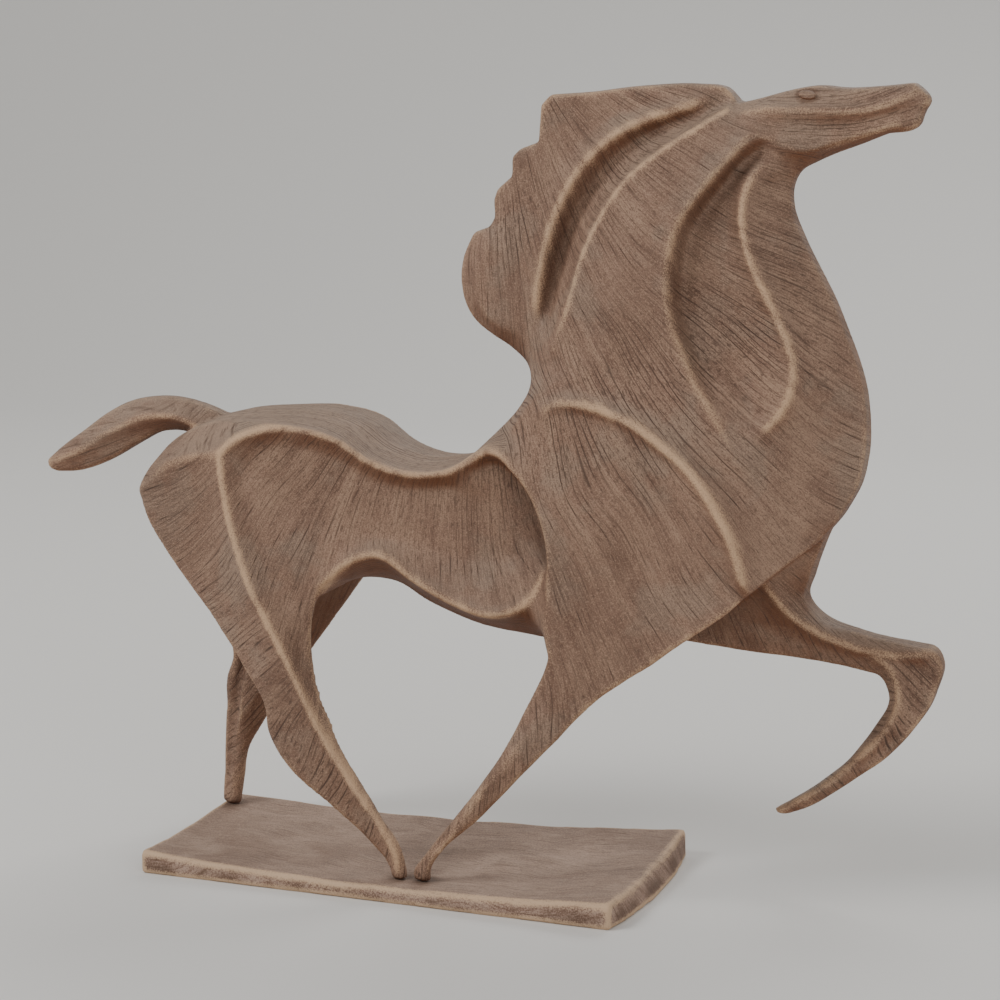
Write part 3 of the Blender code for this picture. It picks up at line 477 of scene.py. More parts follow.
def plinthTop(x, y):
    # the board's cupped top in mm: thickness, a slope to the head end, a twist and two parabolas
    u, v = x / (plinth["length"] / 2), y / plinth["halfWidth"]
    cupped = plinth["thickness"] + plinth["endCup"] * u * u + plinth["sideCup"] * v * v
    return cupped + plinth["frontRise"] * u / 2 + plinth["twist"] * u * v


def carveHorse(x, y, z):
    # field over the block in mm, negative inside the wood
    marks = [horse["toolMarks"] * handMarks((len(x), len(z)), horse["cell"], horse["markSize"], s)
             for s in (3, 7, 11)]

    def drawn(curves, mark):
        height = membrane(list(curves.values()), x, z)
        for _ in range(horse["softening"]):
            height = soften(height, 2)
        relief, crest = beadRelief(curves, x, z)
        return (height + relief + mark).astype(np.float32), crest

    near, nearCrest = drawn({**horse["shared"], **horse["near"]}, marks[0])
    far, farCrest = drawn({**horse["shared"], **horse["far"]}, marks[1])
    sides = [(1, near, nearCrest), (-1, far, farCrest)]
    edge = {name: (outlineDistance(strokes, x, z) + marks[2])[:, None, :].astype(np.float32)
            for name, strokes in horse["outlines"].items()}
    depth = -y[None, :, None].astype(np.float32)

    start, full = horse["crownHeights"]
    onBack = np.clip((z - start) / (full - start), 0, 1)[None, None, :]
    roof = np.clip(1 - np.abs(depth) / horse["crownWidth"], 0, 1)
    crown = readTable(horse["backCrown"], x)[:, None, None] * roof * onBack
    field = slab(edge["body"] - crown, near, -far, depth)
    for name, outer, side in (("near hind leg", near, depth), ("near foreleg", near, depth),
                              ("far hind leg", far, -depth)):
        # a leg thins out towards its edges, like a lens
        inner = readTable(horse["innerFaces"][name], z)[None, :]
        thin, gain = horse["legEdge"]
        inner = np.maximum(inner, outer - thin - gain * np.maximum(-edge[name][:, 0], 0))
        field = np.minimum(field, slab(edge[name], outer, inner, side))
    half, crest = drawn(horse["raisedLeg"], 0.5 * marks[0])
    middle = readTable(horse["raisedLegDepth"], z)[None, :].astype(np.float32)
    field = np.minimum(field, slab(edge["far foreleg"], middle + half, middle - half, depth))
    sides += [(1, middle + half, crest), (-1, half - middle, crest)]
    half, crest = drawn(horse["tail"], 0.5 * marks[1])
    field = np.minimum(field, slab(edge["tail"], half, -half, depth))
    sides += [(1, half, crest), (-1, half, crest)]
    ground = plinthTop(x[:, None], y[None, :]) + horse["footGap"] - horse["lift"]
    return np.maximum(field, ground[:, :, None] - z[None, None, :]), sides


def soften(field, weight):
    # each value moved towards its six neighbours' mean, one axis at a time
    for axis in range(field.ndim):
        wide = np.pad(field, [(1, 1) if n == axis else (0, 0) for n in range(field.ndim)],
                      mode="edge")
        before = np.take(wide, range(field.shape[axis]), axis)
        after = np.take(wide, range(2, field.shape[axis] + 2), axis)
        field = (before + weight * field + after) / (weight + 2)
    return field


def closePinches(field, cell):
    # fills in where two parts of the surface would meet along a line, corner to corner
    for _ in range(20):
        inside = field < 0
        pinched = np.zeros_like(inside)
        for axis in range(3):
            u, v = [n for n in range(3) if n != axis]
            low, high = slice(None, -1), slice(1, None)
            places = []
            for pair in ((low, low), (high, low), (high, high), (low, high)):
                place = [slice(None)] * 3
                place[u], place[v] = pair
                places.append(tuple(place))
            a, b, c, d = (inside[place] for place in places)
            crossed = (a == c) & (b == d) & (a != b)
            for place in places:
                pinched[place] |= crossed
        pinched &= ~inside
        if not pinched.any():
            break
        field = np.where(pinched, -0.1 * cell, field)
    return field


def surfaceNet(field):
    # the field's zero surface: in each grid cell that it cuts, one point at the mean of where it
    # crosses the cell's edges, and a four-sided face across each cut edge
    inside = field < 0
    shape = np.array(field.shape) - 1
    total = np.zeros((*shape, 3), np.float32)
    count = np.zeros(tuple(shape), np.float32)
    for a in np.ndindex(2, 2, 2):
        for axis in range(3):
            if a[axis]:
                continue
            b = tuple(c + (n == axis) for n, c in enumerate(a))
            first, second = (tuple(slice(c, c + n) for c, n in zip(corner, shape))
                             for corner in (a, b))
            cut = inside[first] != inside[second]
            fa, fb = field[first][cut], field[second][cut]
            place = np.tile(np.array(a, np.float32), (len(fa), 1))
            place[:, axis] = fa / (fa - fb)
            total[cut] += place
            count[cut] += 1
    used = count > 0
    number = np.full(tuple(shape), -1)
    number[used] = np.arange(used.sum())
    points = np.argwhere(used) + total[used] / count[used][:, None]
    faces = []
    for axis in range(3):
        u, v = (axis + 1) % 3, (axis + 2) % 3
        ahead, here = [slice(1, -1)] * 3, [slice(1, -1)] * 3
        ahead[axis], here[axis] = slice(1, None), slice(None, -1)
        first, second = inside[tuple(here)], inside[tuple(ahead)]
        for cut, turned in ((first & ~second, False), (second & ~first, True)):
            cell = np.argwhere(cut)
            cell[:, u] += 1
            cell[:, v] += 1
            ring = []
            for du, dv in ((-1, -1), (0, -1), (0, 0), (-1, 0)):
                corner = cell.copy()
                corner[:, u] += du
                corner[:, v] += dv
                ring.append(number[tuple(corner.T)])
            faces.append(np.stack(ring[::-1] if turned else ring, axis=1))
    return points, np.vstack(faces)


def solidShare(field, cell, radius, points):
    # share of wood in a soft ball round each point: under a half on ridges, over a half in hollows
    share = np.clip(0.5 - field / (2 * cell), 0, 1).astype(np.float32)
    reach = max(1, int(round(radius / cell)))
    for _ in range(2):
        for axis in range(3):
            wide = np.pad(share, [(reach + 1, reach) if n == axis else (0, 0) for n in range(3)],
                          mode="edge")
            sums = np.cumsum(wide, axis=axis, dtype=np.float64)
            far = np.take(sums, range(2 * reach + 1, sums.shape[axis]), axis)
            near = np.take(sums, range(sums.shape[axis] - 2 * reach - 1), axis)
            share = ((far - near) / (2 * reach + 1)).astype(np.float32)
    return readGrid(share, points)


def shutInShare(points, faces, rayCount, reach):
    # share of the sky that each point can't see: rays on a sunflower spiral, denser towards the
    # surface's own direction, each of which meets the piece again within reach or doesn't
    corners = points[faces]
    across = np.cross(corners[:, 2] - corners[:, 0], corners[:, 3] - corners[:, 1])
    outward = np.zeros_like(points)
    for k in range(4):
        np.add.at(outward, faces[:, k], across)
    outward /= np.linalg.norm(outward, axis=1)[:, None]
    helper = np.where(np.abs(outward[:, :1]) < 0.7, [[1.0, 0, 0]], [[0, 1.0, 0]])
    first = np.cross(outward, helper)
    first /= np.linalg.norm(first, axis=1)[:, None]
    second = np.cross(outward, first)
    share = (np.arange(rayCount) + 0.5) / rayCount
    turn = np.arange(rayCount) * np.pi * (3 - np.sqrt(5))
    flat, up = np.sqrt(share), np.sqrt(1 - share)
    tree = BVHTree.FromPolygons(points.tolist(), faces.tolist())
    stopped = np.zeros(len(points))
    starts = (points + horse["skyStart"] * outward).tolist()
    for k in range(rayCount):
        ways = (first * flat[k] * np.cos(turn[k]) + second * flat[k] * np.sin(turn[k])
                + outward * up[k]).tolist()
        stopped += [tree.ray_cast(p, way, reach)[0] is not None for p, way in zip(starts, ways)]
    stopped /= rayCount
    for _ in range(3):
        # even out: each face takes its corners' mean, then each point its faces' mean
        mean, count = np.zeros(len(points)), np.zeros(len(points))
        byFace = stopped[faces].mean(axis=1)
        for k in range(4):
            np.add.at(mean, faces[:, k], byFace)
            np.add.at(count, faces[:, k], 1)
        stopped = mean / count
    return stopped


def makePiece(name, points, faces, material, values=None):
    mesh = bpy.data.meshes.new(name)
    mesh.from_pydata(points.tolist(), [], [list(face) for face in faces])
    for label, array in (values or {}).items():
        drawn = mesh.attributes.new(label, "FLOAT", "POINT")
        drawn.data.foreach_set("value", array.astype(np.float32))
    mesh.materials.append(material)
    mesh.shade_smooth()
    piece = bpy.data.objects.new(name, mesh)
    bpy.context.scene.collection.objects.link(piece)
    return piece


def hexColour(code):
    # an sRGB hex value turned to linear
    channels = [int(code[i:i + 2], 16) / 255 for i in (1, 3, 5)]
    linear = [c / 12.92 if c <= 0.04045 else ((c + 0.055) / 1.055) ** 2.4 for c in channels]
    return (*linear, 1.0)


def addNode(tree, kind, inputs, out=0, **settings):
    # one node with its settings, its inputs given as values or as sockets; returns an output
    node = tree.nodes.new("ShaderNode" + kind)
    for key, value in settings.items():
        setattr(node, key, value)
    for key, value in inputs.items():
        if isinstance(value, bpy.types.NodeSocket):
            tree.links.new(value, node.inputs[key])
        else:
            node.inputs[key].default_value = value
    return node if out is None else node.outputs[out]


# Old carved hardwood, oiled long ago and handled since: open pores that read as fine dark dashes
# along the grain, edges rubbed to golden tan that also paints the ridges' highlights, painted shade in
# the hollows, faces turned up painted greyer as sky light and faces turned down painted orange-brown as
# shade, and no gloss.
horseWood = dict(
    clouds={              # mm across, octaves and roughness of what has no direction
        "drift": (110.0, 1.0, 0.5),
        "patch": (42.0, 3.0, 0.6),
        "grit": (0.8, 2.0, 0.75),
    },
    meander=28.0,         # mm that the grain wanders
    apex=(50.0, 520.0),   # mm, x and z of the point from which the grain fans out
    reference=120.0,      # mm from it; past each doubling of this the lines double up
    spread=(160.0, 80.0, 0.0027),  # mm out from which the fan opens further, mm over which that
                          # starts, and how fast it goes, per mm
    lean=0.35,            # mm that the layers shift for each mm in or out
    level=0.8,            # how level a face is where the grain runs along the horse instead
    # the fibres are fine soft stripes along the grain, seen in the colour and in the bump
    patterns={            # mm across and along, octaves, roughness, turns a mm, fold, start, full
        "pores": (0.9, 5.0, 1.0, 0.6, 0.0, 1.0, 0.60, 0.68),
        "lines": (9.0, 80.0, 2.0, 0.5, 1 / 2.7, 0.5, 0.15, 0.03),
        "breaks": (3.5, 45.0, 1.0, 0.5, 0.0, 1.0, 0.34, 0.58),
        "streaks": (7.0, 130.0, 2.0, 0.5, 0.0, 1.0, 0.25, 0.75),
        "fibres": (0.7, 30.0, 2.0, 0.6, 0.0, 1.0, 0.0, 1.0),
    },
    waver=2.2,            # how far a noise shifts the growth lines, as a share of their spacing
    marks=(0.6, 0.85, 0.95),  # how dark the pores, the lines and the two together are
    # the rubbed colour also paints the ridges' highlights; the grey also paints sky light on faces
    # turned up; the underside colour paints shade and bounced light on faces turned down; the shade
    # colour paints the shade where the piece is shut in, and colours the big dark drifts
    dark="#6a4f41", mid="#8b6d5b", light="#a68872", pore="#47342a", wornAndHighlit="#c6a382",
    shade="#553828", grey="#93806f", under="#6c3f24",
    coats=(               # what a coat follows, where it starts and is full, how strong, colour
        ("streaks", -0.1, 0.55, 1.0, "mid"),
        ("streaks", 0.5, 1.0, 0.6, "light"),
        ("patch", 0.50, 0.66, 0.5, "light"),
        ("patch", 0.50, 0.36, 0.55, "grey"),
        ("drift", 0.55, 0.35, 0.4, "shade"),
        ("fibres", 0.50, 0.66, 0.3, "light"),
        ("fibres", 0.50, 0.34, 0.35, "dark"),
        ("grit", 0.50, 0.64, 0.6, "light"),
        ("grit", 0.50, 0.36, 0.6, "dark"),
        # faces turned up are painted greyer, as sky light falling on them
        ("up", 0.25, 0.9, 0.6, "grey"),
        # faces turned down are painted orange-brown, as shade and warm bounced light under them
        ("up", -0.1, -0.8, 0.85, "under"),
        # painted shade from the mesh values: darker where the piece is shut in, in the corner round
        # each eye and where the feet meet the board
        ("grimeAndShade", 0.15, 0.95, 0.55, "shade"),
        ("marks", 0.0, 1.0, 1.0, "pore"),
        # the rubbed colour along crests and edges: wear, and a painted highlight on the ridges
        ("rubAndHighlight", 1.05, 1.85, 0.95, "wornAndHighlit"),
    ),
    wearAndHighlightMix=(0.3, 1.4),   # how far the streaks and the grit carry the wear and the painted highlight
    sheenMix=(0.6, 0.4),  # what the patches and the grit add to the roughness
    # how much of the bump is fibres beside streaks, both of them, marks cut in, and grit
    heightMix=(0.4, 0.4, -0.9, 0.8),
    roughness=(0.55, 0.75),
    specular=0.3,
    bump=0.8,
    relief=0.0005,        # m, depth of the pores and fibres
)
# A sawn board of the same wood, its grain along its length, worn pale along the edges, a little
# grey on top with dust and painted sky light, dark round the feet with grime and painted contact shade,
# and darker in patches along its sides.
plinthWood = dict(
    horseWood,
    apex=None,            # no fan: the layers lie side by side across the board
    meander=44.0,
    lean=0.5,
    patterns={
        "pores": (0.9, 6.0, 1.0, 0.6, 0.0, 1.0, 0.64, 0.70),
        "lines": (12.0, 70.0, 2.0, 0.5, 1 / 4.0, 0.5, 0.13, 0.03),
        "breaks": (5.0, 25.0, 1.0, 0.5, 0.0, 1.0, 0.45, 0.65),
        "streaks": (9.0, 70.0, 3.0, 0.6, 0.0, 1.0, 0.15, 0.85),
        "fibres": (0.9, 16.0, 2.0, 0.6, 0.0, 1.0, 0.0, 1.0),
    },
    clouds={
        "drift": (70.0, 1.0, 0.5),
        "patch": (30.0, 3.0, 0.6),
        "grit": (0.9, 2.0, 0.75),
    },
    marks=(0.5, 0.7, 0.7),
    dark="#6f5547", mid="#907463", light="#b09685", pore="#54402f", wornAndHighlit="#c9aa8b",
    shade="#4e382a", grey="#988778", under="#7a4a2c",
    coats=(
        ("streaks", -0.1, 0.55, 1.0, "mid"),
        ("streaks", 0.45, 1.0, 0.7, "light"),
        ("patch", 0.50, 0.64, 0.75, "light"),
        ("patch", 0.50, 0.36, 0.6, "dark"),
        ("fibres", 0.50, 0.66, 0.5, "light"),
        ("fibres", 0.50, 0.34, 0.5, "dark"),
        ("grit", 0.50, 0.60, 0.6, "light"),
        ("grit", 0.50, 0.40, 0.6, "dark"),
        # the top painted greyer, for dust and for sky light falling on it
        ("up", 0.25, 0.9, 0.3, "grey"),
        ("drift", 0.50, 0.34, 0.2, "shade"),
        # the mesh values: the sides darker below the top in patches, and grime with painted contact
        # shade round the feet
        ("grimeAndShade", 0.15, 0.95, 0.6, "shade"),
        ("marks", 0.0, 1.0, 1.0, "pore"),
        ("rubAndHighlight", 1.05, 1.85, 0.9, "wornAndHighlit"),
    ),
    roughness=(0.6, 0.8),
    relief=0.0003,
)


def makeWood(name, look):
    # the wood of one of the two dictionaries above; sums and coats are read line by line
    material = bpy.data.materials.new(name)
    material.use_nodes = True
    tree = material.node_tree
    shader = tree.nodes["Principled BSDF"]

    # the place on the piece in mm, the way the surface faces, and the wear with painted highlight and
    # the grime with painted shade on the mesh
    place = addNode(tree, "TexCoord", {}, out="Object")
    place = addNode(tree, "VectorMath", {0: place, "Scale": 1 / mm}, operation="SCALE")
    facing = addNode(tree, "NewGeometry", {}, out="Normal")
    spot = addNode(tree, "SeparateXYZ", {0: place}, out=None)
    value = {"x": spot.outputs[0], "y": spot.outputs[1], "z": spot.outputs[2],
             "up": addNode(tree, "SeparateXYZ", {0: facing}, out=2)}
    for mark in ("wearAndHighlight", "grimeAndShade"):
        value[mark] = addNode(tree, "Attribute", {}, out="Fac", attribute_name=mark)
    for cloud, (size, octaves, rough) in look["clouds"].items():
        value[cloud] = addNode(tree, "TexNoise", {"Vector": place, "Scale": 1 / size,
                               "Detail": octaves, "Roughness": rough})

    # the grain's own place: how far across its layers, and how far along them
    sums = [("wander", "SUBTRACT", "drift", 0.5), ("wander", "MULTIPLY", "wander", look["meander"])]
    layers = (0, 1) if look["apex"] else (0,)
    if look["apex"]:
        # a fan of layers: the angle about the apex says which layer, and each doubling of the
        # distance splits a layer in two, so the lines stay as close together all over
        sums += [
            ("right", "SUBTRACT", "x", look["apex"][0]),
            ("down", "SUBTRACT", look["apex"][1], "z"),
            ("far", "MULTIPLY", "right", "right"),
            ("far", "MULTIPLY_ADD", "down", "down", "far"),
            ("far", "SQRT", "far"),
            ("beyond", "SUBTRACT", "far", look["spread"][0]),
            ("beyond", "MAXIMUM", "beyond", 0.0),
            ("ease", "ADD", "beyond", look["spread"][1]),
            ("beyond", "MULTIPLY", "beyond", "beyond"),
            ("beyond", "DIVIDE", "beyond", "ease"),
            ("beyond", "MULTIPLY_ADD", "beyond", look["spread"][2], 1.0),
            ("angle", "ARCTAN2", "right", "down"),
            ("angle", "DIVIDE", "angle", "beyond"),
            ("octave", "DIVIDE", "far", look["reference"]),
            ("octave", "LOGARITHM", "octave", 2.0),
            ("whole", "FLOOR", "octave"),
            ("weight1", "SUBTRACT", "octave", "whole"),
            ("weight0", "SUBTRACT", 1.0, "weight1"),
            ("offset", "MULTIPLY_ADD", "y", look["lean"], "wander"),
            ("tilt", "ABSOLUTE", "up"),
            ("level", "GREATER_THAN", "tilt", look["level"]),
            ("flatAcross", "ADD", "y", "wander"),
        ]
        for k in layers:
            sums += [
                ("split", "ADD", "whole", float(k)),
                ("span", "POWER", 2.0, "split"),
                ("span", "MULTIPLY", "span", look["reference"]),
                (f"across{k}", "MULTIPLY_ADD", "angle", "span", "offset"),
                (f"along{k}", "MULTIPLY_ADD", "split", 533.0, "far"),
            ]
    else:
        sums += [("across0", "MULTIPLY_ADD", "z", look["lean"], "y"),
                 ("across0", "ADD", "across0", "wander")]
    for result, operation, *terms in sums:
        value[result] = addNode(tree, "Math", {i: value.get(term, term) for i, term in
                                enumerate(terms)}, operation=operation)

    # the patterns along the grain: a row with turns a mm makes lines side by side, which its noise
    # makes waver, and a row without them is the noise itself
    for pattern, row in look["patterns"].items():
        wide, long, octaves, rough, turns, fold, start, full = row
        value[pattern] = 0.0
        for k in layers:
            spot = addNode(tree, "CombineXYZ", {0: value[f"across{k}"],
                                                1: value.get(f"along{k}", value["x"])})
            if look["apex"]:
                flat = addNode(tree, "CombineXYZ", {0: value["flatAcross"], 1: value["x"]})
                spot = addNode(tree, "Mix", {0: value["level"], 4: spot, 5: flat}, out=1,
                               data_type="VECTOR")
            spot = addNode(tree, "VectorMath", {0: spot, 1: (1 / wide, 1 / long, 0)},
                           operation="MULTIPLY")
            noise = addNode(tree, "TexNoise", {"Vector": spot, "Scale": 1.0, "Detail": octaves,
                            "Roughness": rough}, noise_dimensions="2D")
            if turns:
                waver = addNode(tree, "Math", {0: noise, 1: look["waver"]}, operation="MULTIPLY")
                across = addNode(tree, "SeparateXYZ", {0: spot})
                noise = addNode(tree, "Math", {0: across, 1: wide * turns, 2: waver},
                                operation="MULTIPLY_ADD")
            noise = addNode(tree, "Math", {0: noise, 1: fold}, operation="PINGPONG")
            noise = addNode(tree, "MapRange", {"Value": noise, "From Min": start,
                            "From Max": full}, interpolation_type="SMOOTHSTEP")
            value[pattern] = addNode(tree, "Math", {0: noise, 1: value.get(f"weight{k}", 1.0),
                                     2: value[pattern]}, operation="MULTIPLY_ADD")

    # dark marks, fewer in pale patches and where hands have rubbed or a highlight is painted; then what
    # is rubbed and painted highlit, how rough it is and how high it stands
    pores, lines, both = look["marks"]
    for result, operation, *terms in (
            ("faint", "MULTIPLY_ADD", "patch", -1.0, 0.5 + lines),
            ("lines", "MULTIPLY", "lines", "faint"),
            ("lines", "MULTIPLY", "lines", "breaks"),
            ("marks", "MULTIPLY", "pores", pores),
            ("marks", "MAXIMUM", "marks", "lines"),
            ("fresh", "MULTIPLY_ADD", "wearAndHighlight", -both, both),
            ("marks", "MULTIPLY", "marks", "fresh"),
            ("rubAndHighlight", "MULTIPLY_ADD", "streaks", look["wearAndHighlightMix"][0], "wearAndHighlight"),
            ("rubAndHighlight", "MULTIPLY_ADD", "grit", look["wearAndHighlightMix"][1], "rubAndHighlight"),
            ("sheen", "MULTIPLY", "patch", look["sheenMix"][0]),
            ("sheen", "MULTIPLY_ADD", "grit", look["sheenMix"][1], "sheen"),
            ("height", "MULTIPLY_ADD", "fibres", look["heightMix"][0], "streaks"),
            ("height", "MULTIPLY", "height", look["heightMix"][1]),
            ("height", "MULTIPLY_ADD", "marks", look["heightMix"][2], "height"),
            ("height", "MULTIPLY_ADD", "grit", look["heightMix"][3], "height")):
        value[result] = addNode(tree, "Math", {i: value.get(term, term) for i, term in
                                enumerate(terms)}, operation=operation)

    colour = hexColour(look["dark"])
    for follows, start, full, strength, coat in look["coats"]:
        share = addNode(tree, "MapRange", {"Value": value[follows], "From Min": start, "From Max":
                        full, "To Max": strength}, interpolation_type="SMOOTHSTEP")
        colour = addNode(tree, "Mix", {0: share, 6: colour, 7: hexColour(look[coat])}, out=2,
                         data_type="RGBA")
    tree.links.new(colour, shader.inputs["Base Color"])
    smooth, coarse = look["roughness"]
    rough = addNode(tree, "MapRange", {"Value": value["sheen"], "From Min": 0.35, "From Max": 0.65,
                    "To Min": smooth, "To Max": coarse})
    tree.links.new(rough, shader.inputs["Roughness"])
    shader.inputs["Specular IOR Level"].default_value = look["specular"]
    bump = addNode(tree, "Bump", {"Height": value["height"], "Strength": look["bump"],
                   "Distance": look["relief"]})
    tree.links.new(bump, shader.inputs["Normal"])
    return material


# Each eye is a low oval button let into the top of the head, square to the surface there.
eye = dict(
    place=(240.3, 473.8),  # mm, x and z in the pattern
    size=(5.1, 2.8, 2.0),  # mm, half length, half height and how far it stands out
    tilt=-9.0,             # degrees that its front end dips
    raised=0.25,           # mm that its middle layer stands above the surface round it
    cornerShade=1.3,             # how dark the painted shade in the corner round it is
    shadeRing=(1.15, 0.3), # how far out that is and how wide, in eye sizes
    wear=(0.1, 0.4),       # how far the button itself carries the rubbed-and-highlit colour and the grime-and-shade colour
)

# The horse, carved where the frame's horse stands.
plinthLow, plinthHigh = (np.array(corner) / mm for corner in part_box("plinth"))
horseLow, horseHigh = (np.array(corner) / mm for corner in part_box("horse"))
plinth["halfWidth"] = plinthHigh[1]
horse["lift"] = horseHigh[2] - horse["patternTop"]

margin = 3 * horse["cell"]
x, y, z = (np.arange(low - margin, high + margin, horse["cell"])
           for low, high in ((horseLow[0], horseHigh[0]), (horseLow[1], horseHigh[1]),
                             (horseLow[2] - horse["lift"], horse["patternTop"])))
field, sides = carveHorse(x, y, z)
field = closePinches(soften(field, 6), horse["cell"])
netPoints, netFaces = surfaceNet(field)
places = netPoints * horse["cell"] + (x[0], y[0], z[0] + horse["lift"])
carvedWood = makeWood("oiled hardwood, hand carved", horseWood)
share = solidShare(field, horse["cell"], horse["edgeRadius"], netPoints)
flatPlace, depth = netPoints[:, [0, 2]], -(netPoints[:, 1] * horse["cell"] + y[0])
crest = np.zeros(len(depth))
for facing, height, sideCrest in sides:
    onFace = np.exp(-(((facing * depth - readGrid(height, flatPlace)) / horse["crestDepth"]) ** 2))
    crest = np.maximum(crest, onFace * readGrid(sideCrest, flatPlace))
# painted shade: the share of a point's rays that meet the piece again darkens its colour where it is
# shut in
stopped = shutInShare(places, netFaces, horse["skyRays"], horse["skyReach"])
low, high = horse["shutIn"]
# painted contact shade at the foot of each leg, strongest where the feet meet the board; it takes the
# same amount off the rubbed colour
above = places[:, 2] - plinthTop(places[:, 0], places[:, 1])
footContactShade = horse["footContactShade"][0] * np.exp(-above / horse["footContactShade"][1])
grimeAndShade = np.maximum(np.clip((stopped - low) / (high - low), 0, 1), footContactShade)
# a thin line of painted shade in the corner round each eye: far is the distance in eye sizes
far = np.hypot((places[:, 0] - eye["place"][0]) / eye["size"][0],
               (places[:, 2] - horse["lift"] - eye["place"][1]) / eye["size"][1])
ring, ringWidth = eye["shadeRing"]
grimeAndShade = np.maximum(grimeAndShade, eye["cornerShade"] * np.exp(-(((far - ring) / ringWidth) ** 2)))
# crests and the profile's worn edges get the rubbed golden colour, which also stands for painted
# highlights on the ridges
edgeWearAndHighlight = horse["edgeWearAndHighlight"] * np.clip((0.5 - share) / horse["edgeShare"], 0, 1)
carvedHorse = makePiece("carvedHorse", places * mm, netFaces, carvedWood, {
    "wearAndHighlight": np.maximum(crest, edgeWearAndHighlight) - footContactShade, "grimeAndShade": grimeAndShade})
# the panels need fewer triangles than the ridges, so the surface is thinned, most where it is even
thinning = carvedHorse.modifiers.new("thinning", "DECIMATE")
thinning.ratio = horse["kept"] / (2 * len(netFaces))
# the share of rays stopped sets how much shade is painted
print("painted shade set, mean share of rays stopped", round(float(stopped.mean()), 3))
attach(carvedHorse, "root")
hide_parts("horse")
print("horse carved:", len(netFaces) * 2, "triangles, thinned to", horse["kept"])

# The eyes, square to the surface there.
turns, rings = np.linspace(0, 2 * np.pi, 40, endpoint=False), np.linspace(0, np.pi, 15)[1:-1]
for facing, height, _ in sides[:2]:
    spot = np.array([[(eye["place"][0] - x[0]) / horse["cell"],
                      (eye["place"][1] - z[0]) / horse["cell"]]])
    step = np.array([[1.5, 0], [0, 1.5]])
    slopes = [(readGrid(height, spot + s) - readGrid(height, spot - s))[0] / (3 * horse["cell"])
              for s in step]
    # the eye's own axes: along the head, up it, and out of it
    slant = math.radians(eye["tilt"])
    level = np.array([1.0, -facing * slopes[0], 0.0])
    rising = np.array([0.0, -facing * slopes[1], 1.0])
    level, rising = level / np.linalg.norm(level), rising / np.linalg.norm(rising)
    length = level * math.cos(slant) + rising * math.sin(slant)
    width = rising * math.cos(slant) - level * math.sin(slant)
    outward = np.cross(length, width) * facing
    # each ring's radius goes as the sine to the power 0.6 and its height as the cosine to 0.8,
    # which makes a button with a full rim and a nearly flat top
    broad = np.sin(rings)[:, None] ** 0.6
    high = (np.sign(np.cos(rings)) * np.abs(np.cos(rings)) ** 0.8)[:, None]
    local = np.stack([broad * np.cos(turns) * eye["size"][0], broad * np.sin(turns) * eye["size"][1],
                      (high - 0 * turns) * eye["size"][2]], axis=2).reshape(-1, 3)
    local = np.vstack([local, [[0, 0, eye["size"][2]], [0, 0, -eye["size"][2]]]])
    centre = np.array([eye["place"][0], -facing * readGrid(height, spot)[0],
                       eye["place"][1] + horse["lift"]])
    centre += outward * eye["raised"]
    points = centre + local @ np.stack([length, width, outward])
    count = len(turns)
    ring = np.arange(count)
    band = np.concatenate([np.stack([k * count + ring, (k + 1) * count + ring,
                                     (k + 1) * count + (ring + 1) % count,
                                     k * count + (ring + 1) % count], axis=1)
                           for k in range(len(rings) - 1)])
    last = (len(rings) - 1) * count
    caps = ([[len(points) - 2, k, (k + 1) % count] for k in range(count)]
            + [[len(points) - 1, last + (k + 1) % count, last + k] for k in range(count)])
    faces = band.tolist() + caps
    if facing < 0:
        faces = [face[::-1] for face in faces]
    wear = {name: np.full(len(points), much) for name, much in zip(("wearAndHighlight", "grimeAndShade"), eye["wear"])}
    eyeball = makePiece("nearEye" if facing > 0 else "farEye", points * mm, faces, carvedWood, wear)
    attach(eyeball, "root")
    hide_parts("horse")

# The plinth's board, dished, its corners rounded, its edges dented, its head end bowed and slanted.
step = plinth["cell"]
margin = plinth["margin"] * step
x = np.arange(plinthLow[0] - margin, plinthHigh[0] + margin, step)
y = np.arange(plinthLow[1] - margin, plinthHigh[1] + margin, step)
z = np.arange(-margin, plinthHigh[2] + margin + step, step)
u, v = x[:, None] / (plinth["length"] / 2), y[None, :] / plinth["halfWidth"]
dents = plinth["wear"] * handMarks((len(x), len(y)), step, plinth["dentSize"], 5)[:, :, None]
hollows = plinth["hollows"] * handMarks((len(x), len(y)), step, plinth["hollowSize"], 7)[:, :, None]
bow = plinth["endBulge"] * (np.clip(u, 0, 1) ** 4 * (1 - np.minimum(v * v, 1)))[:, :, None]
slant = plinth["slant"] * (np.maximum(u, 0) * v)[:, :, None]
flare = plinth["flare"] * (np.minimum(v, 0) * u)[:, :, None]
top = z[None, None, :] - plinthTop(x[:, None], y[None, :])[:, :, None]
height = np.clip(1 + top / (z[None, None, :] - top), 0, 1)
ends = np.abs(x[:, None, None] - slant) - plinth["length"] / 2
ends = ends - bow * (1 - plinth["bowLost"] * height)
sides = np.abs(y[None, :, None] - flare) - plinth["halfWidth"] + 0 * ends
board = roundedMax(ends, sides, plinth["cornerRounding"]) + plinth["inset"] + dents
board = roundedMax(board, top + hollows, plinth["rounding"])
board = roundedMax(board, -z[None, None, :] + 0 * board, plinth["footRounding"])
board = closePinches(board.astype(np.float32), step)
netPoints, netFaces = surfaceNet(board)
boardWood = makeWood("hardwood board, dusty and painted skylit on top", plinthWood)
spots = netPoints * step + (x[0], y[0], z[0])
edgeShare = solidShare(board, step, plinth["edgeRadius"], netPoints)
below = plinthTop(spots[:, 0], spots[:, 1]) - spots[:, 2]
patches = readGrid(handMarks((len(x), len(y)), step, plinth["patch"], 9), netPoints[:, :2])
patchMean, patchGain = plinth["patchShare"]
